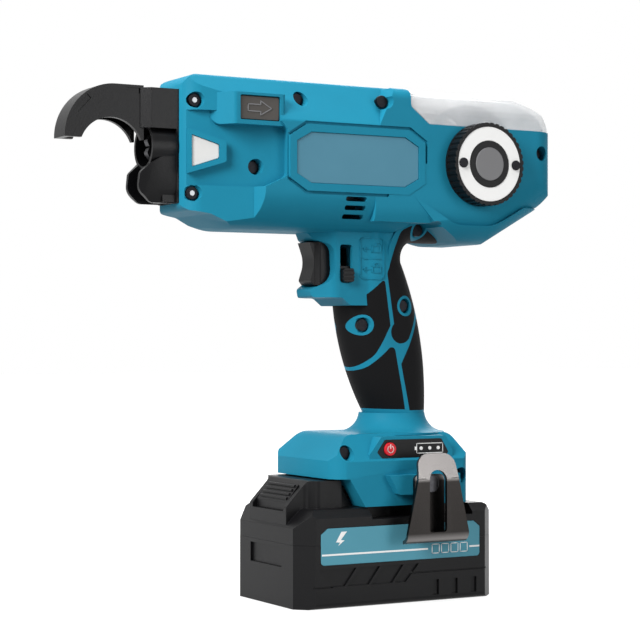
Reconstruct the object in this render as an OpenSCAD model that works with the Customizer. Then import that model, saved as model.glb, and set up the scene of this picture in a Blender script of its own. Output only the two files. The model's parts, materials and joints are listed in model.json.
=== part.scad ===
// Cordless rebar tying tool: body, clear reel cover, pistol grip, slide-on battery pack.
// Origin: centre of the pack's underside. The jaw points to -X, the left side faces -Y, Z is up.

/* [Body] */
// Front face of the body
body_front = -114; // [-122:1:-108]
// Rear end of the body
body_rear = 104; // [100:1:110]
// Flat top of the body
body_top = 267; // [264:1:272]
// Underside of the front belly
belly_z = 190.5; // [188:0.5:192]
// Half width of the body behind the tapered front
body_half_w = 31; // [30:0.5:34]
// Half width of the body at its front face
front_half_w = 18; // [17:0.5:20]
// Where the front taper ends
taper_end = -46; // [-52:1:-42]
// Half width of the flat top between the upper chamfers
top_half_w = 15; // [12:0.5:18]
// Lower edge of the upper chamfers
chamfer_z = 245; // [243:0.5:248]
// Rounding of the belly edges
belly_r = 20; // [16:1:22]
// Wall of the moulded housing
wall = 3; // [2.4:0.1:3.4]
// Depth of the sunken cheek panels at the front
cheek_depth = 3; // [2:0.2:3.6]
// Outward bulge of the lower rear shell
bulge = 2.5; // [1.5:0.5:3.5]

/* [Reel housing] */
// Reel axis along the tool
reel_x = 52; // [50:0.5:54]
// Reel axis height
reel_z = 227.3; // [226:0.1:229]
// Radius of the reel flanges
reel_r = 33; // [28:0.5:33.5]
// Radial room round the reel
reel_room = 2.5; // [2:0.1:3.5]
// Gap between a reel flange and the side wall
reel_side_gap = 1; // [0.5:0.1:2]
// Radius of the reel hub
hub_r = 14; // [11:0.5:18]
// Bore radius of the reel hub
hub_bore_r = 5; // [4:0.1:6]
// Top of the reel housing
reel_top = 265.5; // [264:0.5:267]
// Edge on which the clear cover lies
cover_seat = 247.3; // [245:0.1:250]
// Underside of the reel housing
reel_floor = 186; // [184:0.5:188]
// Wall of the clear cover
cover_wall = 1.8; // [1.4:0.1:2.4]
// Radius of the cover's hinge pin
hinge_r = 1.2; // [1:0.1:1.5]

/* [Reel knob] */
// Outer radius of the ribbed knob
knob_r = 21.8; // [19:0.1:23]
// Thickness of the knob
knob_t = 9; // [7:0.5:11]
// Outer radius of the white ring
ring_r = 19.6; // [17:0.1:20]
// Outer radius of the centre hub of the knob
knob_hub_r = 12.3; // [10:0.1:13]
// Radius of the grey centre cap
cap_r = 8.7; // [7:0.1:9.5]
// Number of ribs round the knob
knob_ribs = 40; // [24:2:60]
// Pull of the knob that frees the reel
plunger_travel = 5; // [4:0.5:5]

/* [Grip] */
// Half width of the grip
grip_half_w = 17; // [15.5:0.5:18]
// Sweep radius of the grip's front line
grip_front_r = 144; // [130:1:160]
// Sweep radius of the grip's rear line
grip_rear_r = 175; // [160:1:190]
// Depth of the rubber on the grip
rubber_t = 1.6; // [1.2:0.1:2.2]
// Lower end of the rubber
rubber_low = 98.5; // [96:0.5:101]

/* [Foot] */
// Front face of the foot
foot_front = -38; // [-42:0.5:-36]
// Rear face of the foot
foot_rear = 44; // [42:0.5:47]
// Half width of the foot
foot_half_w = 34; // [32:0.5:35]
// Height at which the foot starts to slope inward
foot_knee = 73.6; // [72:0.2:76]
// Top of the foot
foot_top = 86.6; // [86:0.2:90]
// Underside of the raised front of the foot
foot_nose_z = 64.4; // [62:0.2:66]

/* [Battery pack] */
// Length of the pack
pack_l = 118.8; // [112:0.2:124]
// Width of the pack
pack_w = 75; // [74:0.5:80]
// Corner chamfer of the pack
pack_chamfer = 8.4; // [6:0.2:10]
// Deck of the pack, just under the foot
deck_z = 49.6; // [49.2:0.2:52]
// Joint between the lower and the upper case
pack_joint_z = 32; // [30:0.5:34]
// Wall of the pack cases
pack_wall = 2.4; // [2:0.1:2.6]
// Radius of one cell
cell_r = 9.1; // [8.6:0.1:9.2]
// Length of one cell
cell_l = 65; // [60:0.5:66]
// Travel of the release latch
latch_travel = 3.5; // [2.5:0.1:4]

/* [Nose and jaw] */
// Height of the twist axis
twist_z = 230.8; // [230:0.2:231.4]
// Outer radius of the twist barrel
barrel_r = 11.6; // [11.2:0.1:12.5]
// Bore radius of the twist barrel
barrel_bore_r = 9.8; // [9:0.1:10.2]
// Mouth of the twist barrel
mouth_x = -128; // [-130:0.5:-126]
// Half width of the nose casting
nose_half_w = 11; // [10.5:0.1:11.5]
// Outer radius of the curved jaw
jaw_r = 27; // [25:0.5:29]
// Inner radius of the curved jaw
jaw_throat_r = 17; // [15:0.5:18]
// Half width of the jaw
jaw_half_w = 7; // [6:0.2:8]
// Thickness of a jaw side plate
jaw_plate = 2.4; // [2:0.1:3]

/* [Trigger and levers] */
// Half width of the trigger
trigger_half_w = 9; // [8:0.2:9.6]
// Travel of the trigger
trigger_travel = 6; // [4:0.5:7]
// Travel of the lock lever
lock_travel = 12; // [8:0.5:12.5]
// Travel of the square push plate
push_travel = 1.5; // [1:0.1:2]
// Travel of the power button
power_travel = 0.8; // [0.5:0.1:1]

/* [Drive] */
// Module of all gears
gear_m = 0.8; // [0.7:0.02:0.82]
// Radius of the twist shaft
shaft_r = 5; // [4:0.1:5.5]
// Outer radius of the shaft bearings
bearing_r = 11; // [10:0.1:11.5]
// Radius of the twist motor
motor_r = 18; // [16:0.1:18]
// Length of the twist motor
motor_l = 50; // [44:0.5:52]

/* [Fits] */
// Gap between moving pieces
move_gap = 0.4; // [0.3:0.05:0.5]
// Radial clearance of shafts in their bearings
run_fit = 0.05; // [0.02:0.01:0.1]
// Gap between pieces that seat on each other
seat_gap = 0.1; // [0.05:0.05:0.2]

/* [Hidden] */
$fn = 64;
eps = 0.01;
teal = "#3aa0be";
black = "#2a2a2c";
rubber = "#333335";
steel = "#b9bcc0";
big = 400;

// Prisms along each axis. prism_y is drawn in X-Z and prism_x in Y-Z.
module prism_x(x0, x1) {
    translate([x0, 0, 0])
        rotate([90, 0, 90])
            linear_extrude(height = x1 - x0)
                children();
}

module prism_y(y0, y1) {
    translate([0, y1, 0])
        rotate([90, 0, 0])
            linear_extrude(height = y1 - y0)
                children();
}

module prism_z(z0, z1) {
    translate([0, 0, z0])
        linear_extrude(height = z1 - z0)
            children();
}

// A bar along Y or X, given by its centre line and its radius.
module bar_y(x, z, r, y0, y1) {
    translate([x, y0, z])
        rotate([-90, 0, 0])
            cylinder(r = r, h = y1 - y0);
}

module bar_x(y, z, r, x0, x1) {
    translate([x0, y, z])
        rotate([0, 90, 0])
            cylinder(r = r, h = x1 - x0);
}

module box(x0, x1, y0, y1, z0, z1) {
    translate([x0, y0, z0])
        cube([x1 - x0, y1 - y0, z1 - z0]);
}

// Closed outline through corner points [x, y, r], listed counter-clockwise.
// A corner with a third value is rounded by a true arc of that radius.
function flat(p) = [p[0], p[1]];
function corner_r(p) = len(p) > 2 ? p[2] : 0;
function unit(v) = v / norm(v);
function turn(a, b, c) = (b[0] - a[0]) * (c[1] - b[1]) - (b[1] - a[1]) * (c[0] - b[0]);
function cut_len(a, b, c, r) = r / tan(acos(unit(a - b) * unit(c - b)) / 2);
function arc_centre(a, b, c, r) =
    b + unit(unit(a - b) + unit(c - b)) * r / sin(acos(unit(a - b) * unit(c - b)) / 2);

module outline(p) {
    n = len(p);
    at = [for (i = [0:n - 1]) [flat(p[(i + n - 1) % n]), flat(p[i]), flat(p[(i + 1) % n]), corner_r(p[i])]];
    corners = [
        for (c = at)
            each c[3] == 0 ? [c[1]] : [
                c[1] + unit(c[0] - c[1]) * cut_len(c[0], c[1], c[2], c[3]),
                c[1] + unit(c[2] - c[1]) * cut_len(c[0], c[1], c[2], c[3])
            ]
    ];
    difference() {
        union() {
            polygon(corners);
            for (c = at)
                if (c[3] > 0 && turn(c[0], c[1], c[2]) > 0)
                    translate(arc_centre(c[0], c[1], c[2], c[3]))
                        circle(r = c[3]);
        }
        for (c = at)
            if (c[3] > 0 && turn(c[0], c[1], c[2]) < 0)
                translate(arc_centre(c[0], c[1], c[2], c[3]))
                    circle(r = c[3]);
    }
}

// Both mirror images across the centre plane.
module both_sides() {
    children();
    mirror([0, 1, 0])
        children();
}

// Half width of the tapered body at a place along the tool.
taper_slope = (body_half_w - front_half_w) / (taper_end - body_front);
function half_at(x) = x > taper_end ? body_half_w : body_half_w - (taper_end - x) * taper_slope;
cheek_angle = atan(taper_slope);

// Frame of the slanted front cheek: x runs rearward along it, -y points out of it.
module on_cheek() {
    translate([taper_end, -body_half_w, 0])
        rotate([0, 0, -cheek_angle])
            children();
}

// Plan of the body, with its half width grown by g.
module body_plan(g = 0) {
    outline([
        [body_front, front_half_w + g, 11],
        [body_front, -front_half_w - g, 11],
        [taper_end, -body_half_w - g, 40],
        [body_rear, -body_half_w - g, 15],
        [body_rear, body_half_w + g, 15],
        [taper_end, body_half_w + g, 40]
    ]);
}

// Cross-section of the front body, drawn inward by d.
chamfer_lean = atan((body_half_w - top_half_w) / (body_top - chamfer_z));
module body_section(d = 0) {
    side = body_half_w - d;
    low = chamfer_z - d * tan(chamfer_lean / 2);
    crown = top_half_w - d * tan(45 - chamfer_lean / 2);
    round_low = belly_r - d;
    outline([
        [-side, belly_z + d, round_low], [side, belly_z + d, round_low],
        [side, low, 3], [crown, body_top - d, 4],
        [-crown, body_top - d, 4], [-side, low, 3]
    ]);
}

front_low = 199.5;
belly_end = 6;
wall_x0 = body_front + 10;
bay_end = 6;
module front_block() {
    intersection() {
        prism_y(-big, big)
            outline([
                [body_front, body_top, 9], [body_front, front_low, 5], [body_front + 13, front_low - 2, 6],
                [body_front + 28, belly_z, 14], [belly_end, belly_z], [16, 198], [16, cover_seat - 1.3],
                [cover_front, 252], [cover_front, body_top]
            ]);
        prism_z(0, big)
            body_plan();
        prism_x(body_front - 1, 20)
            body_section();
    }
}

// Octagon round the rating plate, grown by g.
plate_x = -22;
plate_z = 226.8;
plate_hl = 36;
plate_hh = 12.8;
plate_cut_x = 8.3;
plate_cut_z = 4.6;
frame_rim = 4;
frame_proud = 0.2;
module octagon(g = 0) {
    l = plate_hl + g;
    h = plate_hh + g;
    cx = plate_cut_x + g * 0.4;
    cz = plate_cut_z + g * 0.4;
    translate([plate_x, plate_z])
        polygon([
            [-l, -h + cz], [-l + cx, -h], [l - cx, -h], [l, -h + cz],
            [l, h - cz], [l - cx, h], [-l + cx, h], [-l, h - cz]
        ]);
}

// Reel housing with its slanted, rounded underside.
slope_x = 61;
slope_rise = 20;
slope_run = 36;
tail_join_x = 25;
tail_join_z = 196;
tail_end = 46;
cover_front = 9.3;
module reel_side_view() {
    outline([
        [-12, tail_join_z], [tail_join_x, tail_join_z, 3], [tail_end, reel_floor, 6],
        [slope_x, reel_floor, 10],
        [slope_x + slope_run, reel_floor + slope_rise, 5], [body_rear + 0.4, reel_floor + 34, 14],
        [body_rear + 0.4, cover_seat - 13, 14], [body_rear - 3.2, cover_seat, 1.5],
        [20.5, cover_seat, 3], [cover_front, 256, 3],
        [cover_front, reel_top, 2], [0, reel_top], [-12, 240]
    ]);
}

module reel_block(g = 0) {
    side = body_half_w + g;
    intersection() {
        prism_y(-big, big)
            reel_side_view();
        prism_z(0, big)
            body_plan(g);
        prism_x(-20, body_rear + 10)
            outline([[-side, reel_floor, 18], [side, reel_floor, 18], [side, reel_top, 6],
                [-side, reel_top, 6]]);
        translate([slope_x, 0, reel_floor])
            rotate([0, -atan(slope_rise / slope_run), 0])
                prism_x(-120, 90)
                    outline([[-side, 0, 18], [side, 0, 18], [side, 150], [-side, 150]]);
    }
}

// Lower rear shell that stands out below a curved ridge.
module reel_bulge() {
    full = body_half_w + bulge;
    rise = body_half_w - 0.2;
    intersection() {
        reel_block(bulge);
        prism_y(-big, big)
            outline([
                [24, 150], [120, 150], [120, 206], [81.5, 206, 8], [62, 195.4, 26], [36, 195.4, 22],
                [10.4, 210.5],
                [24, 196]
            ]);
        prism_z(0, big)
            polygon([[8, -rise], [46, -full], [120, -full], [120, full], [46, full], [8, rise]]);
    }
}

// Grip: two curved sweeps, one for the front line and one for the rear line.
grip_front_c = [126, 167.6];
grip_rear_c = [-141, 105.6];
grip_foot_z = 82;
grip_head_z = 196;
module round_bar(x0, x1, r) {
    translate([x0 + r, 0])
        circle(r = r);
    translate([x1 - r, 0])
        circle(r = r);
    translate([x0 + r, -r])
        square([x1 - x0 - 2 * r, 2 * r]);
}

sweep_depth = 110;
sweep_ease = 0.15;
module grip_sweep(centre, start, r_out, r) {
    translate([centre[0], 0, centre[1]])
        rotate([90, 0, 0])
            rotate([0, 0, start])
                rotate_extrude(angle = 80, $fn = 240)
                    round_bar(r_out - sweep_depth, r_out, r);
}

module grip_form(d = 0, z0 = grip_foot_z, z1 = grip_head_z) {
    intersection() {
        grip_sweep(grip_front_c, 150, grip_front_r - d, grip_half_w - d);
        grip_sweep(grip_rear_c, -35, grip_rear_r - d, grip_half_w - d + sweep_ease);
        box(-60, 70, -40, 40, z0, z1);
    }
}

// Block round the trigger, with the lip below it, and the web behind the grip.
guard_half_w = 15.5;
trigger_low = 162.6;
trigger_high = 186.4;
module trigger_block() {
    intersection() {
        prism_y(-guard_half_w, guard_half_w)
            outline([
                [8, 158], [8, 200], [-46, 200], [-36, 187, 3], [-27.4, 184, 6], [-26.4, 166.4, 8],
                [-37.8, 161.2, 1.6], [-36.4, 157, 2], [-23, 157, 4], [-18, 153], [-6, 153]
            ]);
        prism_z(0, big)
            outline([
                [-52, 4], [-52, -4], [-40, -5], [-27, -guard_half_w, 8], [30, -guard_half_w],
                [30, guard_half_w], [-27, guard_half_w, 8], [-40, 5]
            ]);
    }
}

tail_half_w = 16.6;
tail_r = 9;
tail_edge_r = 15.4;
tail_c = [27.4, 178];
module tail_section(d, h) {
    w = tail_half_w - d;
    outline([
        [tail_r + d, -w, tail_edge_r - d], [tail_r + d + h, -w], [tail_r + d + h, w],
        [tail_r + d, w, tail_edge_r - d]
    ]);
}

module grip_web(d = 0) {
    translate([tail_c[0], 0, tail_c[1]]) {
        rotate([90, 0, 0])
            rotate([0, 0, 90])
                rotate_extrude(angle = 105, $fn = 120)
                    tail_section(d, 14);
        rotate([0, -90, 180])
            linear_extrude(height = tail_end - tail_c[0] + 3)
                tail_section(d, 14);
    }
}

// Foot: a block whose upper part slopes inward on all sides, under a flared neck.
foot_low = 50;
foot_step_x0 = -29;
foot_step_x1 = -20;
neck_x = 16.4;
neck_r = 17.5;
neck_flare = 11;
foot_slope_w = 11;
knee_drop = 0.5;
module foot_block() {
    intersection() {
        prism_y(-big, big)
            outline([
                [foot_front, foot_knee], [foot_front, foot_nose_z], [foot_step_x0, foot_nose_z],
                [foot_step_x1, foot_low], [foot_rear, foot_low], [foot_rear, foot_knee],
                [foot_rear - 7, foot_top, 6], [foot_front + 12, foot_top, 9]
            ]);
        prism_x(foot_front - 1, foot_rear + 1)
            polygon([
                [-foot_half_w, foot_low - 1], [foot_half_w, foot_low - 1],
                [foot_half_w, foot_knee - knee_drop],
                [foot_half_w - foot_slope_w, foot_top + 1], [-foot_half_w + foot_slope_w, foot_top + 1],
                [-foot_half_w, foot_knee - knee_drop]
            ]);
        prism_z(0, big)
            outline([
                [foot_front - 0.4, foot_half_w + 0.4, 11], [foot_front - 0.4, -foot_half_w - 0.4, 11],
                [foot_rear + 0.4, -foot_half_w - 0.4, 7], [foot_rear + 0.4, foot_half_w + 0.4, 7]
            ]);
    }
}

module neck_flare_ring() {
    translate([neck_x, 0, foot_top])
        rotate_extrude()
            difference() {
                translate([0, -1])
                    square([neck_r + neck_flare - 0.6, neck_flare]);
                translate([neck_r + neck_flare, neck_flare])
                    circle(r = neck_flare);
            }
}

module housing_form() {
    front_block();
    reel_block();
    reel_bulge();
    grip_form();
    trigger_block();
    grip_web();
    foot_block();
    neck_flare_ring();
    both_sides()
        prism_y(-body_half_w - frame_proud, -front_half_w)
            octagon(frame_rim);
}

// Housing screws: [x, z, seat of the head, tip], along Y from the left side.
screw_head_r = 3.2;
screw_head_h = 2.4;
screw_r = 1.8;
screw_well_r = 4;
screw_boss_r = 5.4;
feed_left = -5.5;
screws = [
    [body_front + 6, 253.5, -14.5, -nose_half_w + 3.4], [body_front + 4.7, 207.5, -14.5, -nose_half_w + 3.4],
    [-76.7, 221.5, -16, 13], [-51.3, 257, -16, 11], [-5.4, 258, -24, feed_left + 1.2],
    [body_rear - 11, 235.6, -22, 14], [24.9, 193.1, -10, 8], [14.9, 152.9, -11, 8],
    [-9.6, 142.8, -11, 8], [foot_front + 9, 77.4, -25, -14], [foot_rear - 5.5, 64.4, -25, 10]
];

module screw_wells() {
    for (s = screws) {
        bar_y(s[0], s[1], screw_well_r, -60, s[2]);
        bar_y(s[0], s[1], screw_r + seat_gap, s[2] - 1, s[3] + 0.6);
    }
}

// Bosses that carry the screws across a hollow, up to the tip of each screw.
module screw_bosses(list) {
    for (s = list) {
        bar_y(s[0], s[1], screw_boss_r, -60, s[2] + 2);
        bar_y(s[0], s[1], screw_r + 1.8, s[2], s[3] < 0 ? feed_left : 60);
    }
}

module housing_screws() {
    color("#5a5d61")
        for (s = screws) {
            bar_y(s[0], s[1], screw_head_r, s[2] - screw_head_h, s[2]);
            bar_y(s[0], s[1], screw_r, s[2] - 1, s[3]);
        }
}

// Drive bay: the hollow front body, with ribs for the gearbox frame and the twist motor.
motor_z = twist_z - gear_m * 20;
frame_low = 200;
frame_top = 244;
frame_half_w = 13.4;
motor_x0 = -52;
rib_t = 4;
feed_wire_z = 247;
module drive_bay() {
    inset = cheek_depth + wall;
    knee = -62;
    difference() {
        intersection() {
            prism_x(wall_x0, bay_end)
                body_section(wall);
            prism_z(0, big)
                polygon([
                    [wall_x0, half_at(wall_x0) - inset], [wall_x0, inset - half_at(wall_x0)],
                    [knee, inset - half_at(knee)], [knee + 7, wall - body_half_w],
                    [bay_end + 1, wall - body_half_w], [bay_end + 1, body_half_w - wall],
                    [knee + 7, body_half_w - wall], [knee, half_at(knee) - inset]
                ]);
        }
        box(wall_x0 - 1, wall_x0 + 16, -40, 40, 180, frame_low);
        box(rear_wall_x, rear_wall_x + rib_t, -40, 40, 180, frame_low);
        for (x = [motor_x0 + 10, motor_x0 + motor_l - 12])
            difference() {
                box(x, x + rib_t, -40, 40, 180, motor_z + 10);
                bar_x(0, motor_z, motor_r + seat_gap, x - 1, x + rib_t + 1);
            }
        screw_bosses([screws[2], screws[3], screws[4]]);
    }
}

// Hollows of the reel housing, the grip and the foot.
reel_half_w = body_half_w - 8.5;
reel_bay_r = reel_r + reel_room;
lead_x = 6;
switch_x0 = -16;
switch_x1 = -2;
switch_half_w = 8;
ear_half_w = trigger_half_w + 0.9;
switch_low = 165;
switch_high = 183;
board_z = 72;
board_t = 1.6;
foot_bay_x0 = -25;
foot_bay_x1 = 32;
foot_bay_half_w = 29;
lip_z = 53.2;
rail_half_w = 22;
rail_neck_half_w = 19;
rail_top = 58;
rail_end = 40;
module hollows() {
    drive_bay();
    bar_y(reel_x, reel_z, reel_bay_r, -reel_half_w, reel_half_w);
    bar_x(0, feed_wire_z, 2.5, 0, 30);
    difference() {
        grip_form(5, foot_top - 18, 160);
        screw_bosses([screws[7], screws[8]]);
    }
    translate([lead_x, 0, 150])
        cylinder(r = 5, h = 60);
    box(-50, switch_x0, -trigger_half_w - move_gap, trigger_half_w + move_gap, trigger_low, trigger_high);
    box(trigger_x - 1.5, switch_x0, -ear_half_w - move_gap, ear_half_w + move_gap, trigger_low, trigger_high);
    box(switch_x0 - eps, switch_x1 + seat_gap, -switch_half_w - seat_gap, switch_half_w + seat_gap,
        switch_low - seat_gap, switch_high + seat_gap);
    box(switch_x1 - 1, lead_x, -3, 3, switch_low + 4, switch_high - 4);
    box(foot_bay_x0, foot_bay_x1, -foot_bay_half_w, foot_bay_half_w, rail_top + 4.5, board_z + board_t);
    box(foot_front - 1, rail_end + move_gap, -rail_half_w - move_gap, rail_half_w + move_gap, lip_z,
        rail_top + 2.5);
    box(foot_front - 1, rail_end + move_gap, -rail_neck_half_w - move_gap, rail_neck_half_w + move_gap, 40,
        lip_z + 1);
}

// Opening in the front wall for the nose casting.
nose_low = 202.8;
nose_top = 259.2;
module nose_opening() {
    box(body_front - 1, wall_x0 + 1, -nose_half_w - seat_gap, nose_half_w + seat_gap,
        nose_low - seat_gap, nose_top + seat_gap);
}

// Sunken cheek panel with the ridge below it, in the frame of the slanted cheek.
module cheek_panel() {
    on_cheek()
        prism_y(-8, cheek_depth)
            outline([
                [-78, 211.3], [-29, 211.3, 4], [-16.8, 217, 4], [-16.8, 240, 4], [-24, 248.6, 4], [-78, 248.6]
            ]);
}

// Raised pad with the pocket of the small white plate.
pad_t = 0.6;
nose_plate_t = 0.8;
module nose_pad() {
    on_cheek()
        difference() {
            prism_y(-pad_t, cheek_depth + 1)
                outline([[-67.4, 217.2], [-48, 223.2, 1.5], [-48, 233.4, 1.5], [-67.4, 239.4]]);
            nose_plate_form(seat_gap, 1.6);
        }
}

module nose_plate_form(g, depth) {
    prism_y(-2, depth - pad_t)
        outline([
            [-65.6 - g, 220.4 - g], [-51.6 + g, 225 - g, 1.2], [-51.6 + g, 231.6 + g, 1.2],
            [-65.6 - g, 236.2 + g]
        ]);
}

module nose_plate() {
    color("white")
        on_cheek()
            intersection() {
                nose_plate_form(0, 1.6);
                prism_y(1 - nose_plate_t, 1)
                    square([big, 2 * big], center = true);
            }
}

// Raised pad round the square push plate.
push_x0 = -89;
push_x1 = -66.6;
push_z0 = 243.9;
push_z1 = 256.2;
push_face = 28.6;
push_rim = 29.5;
push_t = 4;
push_floor = push_face - push_t - push_travel - 0.6;
module push_pad() {
    intersection() {
        prism_z(push_z0 - 2.2, push_z1 + 1.3)
            outline([
                [-102, -15], [push_x0 - 3, -push_rim, 3], [push_x1 + 3, -push_rim, 2], [push_x1 + 4.5, -15]
            ]);
        prism_y(-40, 0)
            outline([
                [-100, push_z0 - 3, 6], [push_x1 + 6, push_z0 - 3], [push_x1 + 6, push_z1 + 3],
                [-100, push_z1 + 3]
            ]);
    }
}

module push_plate() {
    g = move_gap;
    color(black)
        prism_y(-push_face, push_t - push_face)
            outline([
                [push_x0 + g, push_z0 + g, 1], [push_x1 - g, push_z0 + g, 1],
                [push_x1 - g, push_z1 - g, 1], [push_x0 + g, push_z1 - g, 1]
            ]);
}

// Octagonal rating plate, bare, in a pocket of the left side.
plate_t = 1.2;
plate_sunk = 0.3;
groove = 1.5;
module rating_plate() {
    color("#568ca5")
        prism_y(-body_half_w + plate_sunk, -body_half_w + plate_sunk + plate_t)
            octagon();
}

module plate_pocket() {
    prism_y(-body_half_w - 1, -body_half_w + plate_sunk + plate_t)
        octagon(seat_gap);
    difference() {
        prism_y(-body_half_w - 4, -body_half_w + groove)
            octagon(frame_rim + groove);
        prism_y(-body_half_w - 5, -body_half_w + groove + 1)
            octagon(frame_rim);
        box(plate_x + 18, big, -big, big, -big, plate_z);
    }
}

// Three vent slots low on each side.
module vents() {
    for (z = [198, 202.4, 206.8])
        prism_y(-40, -20)
            translate([-23.3, z])
                outline([[-6.2, -1.2, 1.1], [6.2, -1.2, 1.1], [6.2, 1.2, 1.1], [-6.2, 1.2, 1.1]]);
}

// Slot of the lock lever, with the wider room of its flange behind it.
lock_x0 = -24.2;
lock_x1 = -16.8;
lock_z0 = 164.6;
lock_h = 7;
lock_lip = 1.8;
lock_in = -ear_half_w - 0.7;
lock_flange_t = 2.2;
module lock_room(x0, x1, y0, y1, z0, z1) {
    prism_y(y0, y1)
        outline([[x0, z0, 1.5], [x1, z0, 1.5], [x1, z1, 1.5], [x0, z1, 1.5]]);
}

module lock_slot() {
    g = move_gap;
    z1 = lock_z0 + lock_h + lock_travel + 2 * g;
    lock_room(lock_x0, lock_x1, -30, lock_in, lock_z0, z1);
    lock_room(lock_x0 - lock_lip - g, lock_x1 + lock_lip + g, lock_in - lock_flange_t - g, lock_in + g,
        lock_z0 - lock_lip, z1 + lock_lip);
}

module lock_lever() {
    g = move_gap;
    y0 = lock_in - lock_flange_t;
    color(black)
        difference() {
            union() {
                lock_room(lock_x0 + g, lock_x1 - g, -18.4, lock_in - g, lock_z0 + g, lock_z0 + g + lock_h);
                lock_room(lock_x0 - lock_lip, lock_x1 + lock_lip, y0, lock_in,
                    lock_z0 + g - lock_lip + 0.4, lock_z0 + g + lock_h + lock_lip - 0.4);
            }
            for (k = [0:2])
                box(lock_x0, lock_x1, -19, -17.8, lock_z0 + 1.6 + 2 * k, lock_z0 + 2.4 + 2 * k);
        }
}

// Rubber areas of the grip in side view.
module rubber_areas() {
    difference() {
        rubber_patches();
        for (s = [screws[6], screws[7], screws[8]])
            translate([s[0], s[1]])
                circle(r = screw_boss_r);
    }
}

module rubber_patches() {
    outline([
        [-40, 118], [-21, 118], [-11, 119.6, 12], [-3, 127, 14], [5.4, 142.6], [1.9, 167, 1.2],
        [-9, 158, 20], [-22, 152.6, 12], [-40, 152]
    ]);
    outline([
        [-40, rubber_low + 1.5], [14.6, rubber_low], [7.6, 133.6, 2.4], [-7, 119.6, 14], [-20, 115.6, 8],
        [-40, 115.6]
    ]);
    outline([[17.2, rubber_low - 0.5], [60, rubber_low - 0.5], [60, 152], [24, 146], [12, 122.4, 0.8]]);
    outline([
        [9.2, 133, 2.4], [15.6, 133.4, 6], [25, 152], [60, 160], [60, 186], [tail_end - 1.3, 186.2],
        [tail_join_x + 0.6, tail_join_z - 0.6], [19, 195.2, 3], [12.4, 192.4, 6], [3.4, 170, 4]
    ]);
}

module handle_form(d) {
    grip_form(d, grip_foot_z - d, tail_join_z + d);
    grip_web(d);
}

rubber_over = 0.3;
module rubber_layer(d0, d1) {
    intersection() {
        difference() {
            handle_form(d0);
            handle_form(d1);
        }
        prism_y(-big, big)
            rubber_areas();
    }
}

// Indicator pad and belt hook boss on the left side of the foot.
panel_face = 33.2;
panel_t = 1;
module panel_outline(g = 0) {
    outline([
        [-9.5 - g, 74.4 - g, 1.5], [29 + g, 74.4 - g, 1.5], [30.8 + g, 76.8, 1], [26.4 + g, 83.8 + g, 1.5],
        [-8 - g, 83.8 + g, 1.5], [-12.6 - g, 77.5, 1]
    ]);
}

hook_x = 14.5;
hook_seat = 38.8;
hook_screw_z = 61.2;
module foot_pads() {
    prism_y(-panel_face, -15)
        outline([
            [-17, board_z + board_t + 0.1], [33.5, board_z + board_t + 0.1], [33.5, 78], [29, 85.4, 2],
            [-10, 85.4, 2], [-17, 76.4]
        ]);
    prism_y(-hook_seat, -foot_half_w + 1)
        outline([[hook_x - 17, 55.8, 1.5], [hook_x + 17, 55.8, 1.5], [hook_x + 23, 65.8],
            [hook_x - 23, 65.8]]);
}

power_x = -5;
power_z = 79;
power_r = 3.4;
module foot_pockets() {
    prism_y(-big, -panel_face + panel_t)
        panel_outline(seat_gap);
    bar_y(power_x, power_z, power_r + move_gap, -big, -panel_face + panel_t + power_travel + 2);
    bar_y(hook_x, hook_screw_z, 2 + seat_gap, -big, -foot_bay_half_w - 0.8);
}

// Bore for the reel plunger's sleeve in the left wall, hinge ears of the cover.
sleeve_r = 8.2;
hinge_x = cover_front + 3.3;
hinge_z = reel_top - 2.9;
knuckle_r = 2.8;
ear_y0 = 13.8;
ear_y1 = 18;
module hinge_ears() {
    both_sides()
        difference() {
            union() {
                bar_y(hinge_x, hinge_z, knuckle_r - 0.2, ear_y0, ear_y1);
                box(cover_front - 1, hinge_x, ear_y0, ear_y1, hinge_z - knuckle_r + 0.4,
                    hinge_z + knuckle_r - 0.4);
            }
            bar_y(hinge_x, hinge_z, hinge_r + seat_gap, ear_y0 - 1, ear_y1 + 1);
        }
}

module housing_shell() {
    difference() {
        housing_form();
        both_sides()
            cheek_panel();
        hollows();
        nose_opening();
        both_sides()
            vents();
        rubber_layer(-rubber_over, rubber_t);
    }
    hinge_ears();
}

module left_half() {
    box(-big, big, -big, 0, -big, big);
}

module left_housing() {
    color(teal)
        difference() {
            union() {
                intersection() {
                    housing_shell();
                    left_half();
                }
                nose_pad();
                push_pad_shell();
                foot_pads();
            }
            plate_pocket();
            prism_y(-big, -push_floor)
                outline([[push_x0, push_z0, 1], [push_x1, push_z0, 1], [push_x1, push_z1, 1],
                    [push_x0, push_z1, 1]]);
            lock_slot();
            foot_pockets();
            bar_y(reel_x, reel_z, sleeve_r + seat_gap, -big, -20);
            screw_wells();
        }
}

// The pad of the push plate ends at the inner face of the wall behind it.
module push_pad_shell() {
    difference() {
        push_pad();
        drive_bay();
    }
}

module right_housing() {
    color(teal)
        difference() {
            housing_shell();
            left_half();
            screw_wells();
        }
}

module left_grip_rubber() {
    color(rubber)
        intersection() {
            rubber_layer(0, rubber_t - seat_gap);
            left_half();
        }
}

module right_grip_rubber() {
    color(rubber)
        difference() {
            rubber_layer(0, rubber_t - seat_gap);
            left_half();
        }
}

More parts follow.
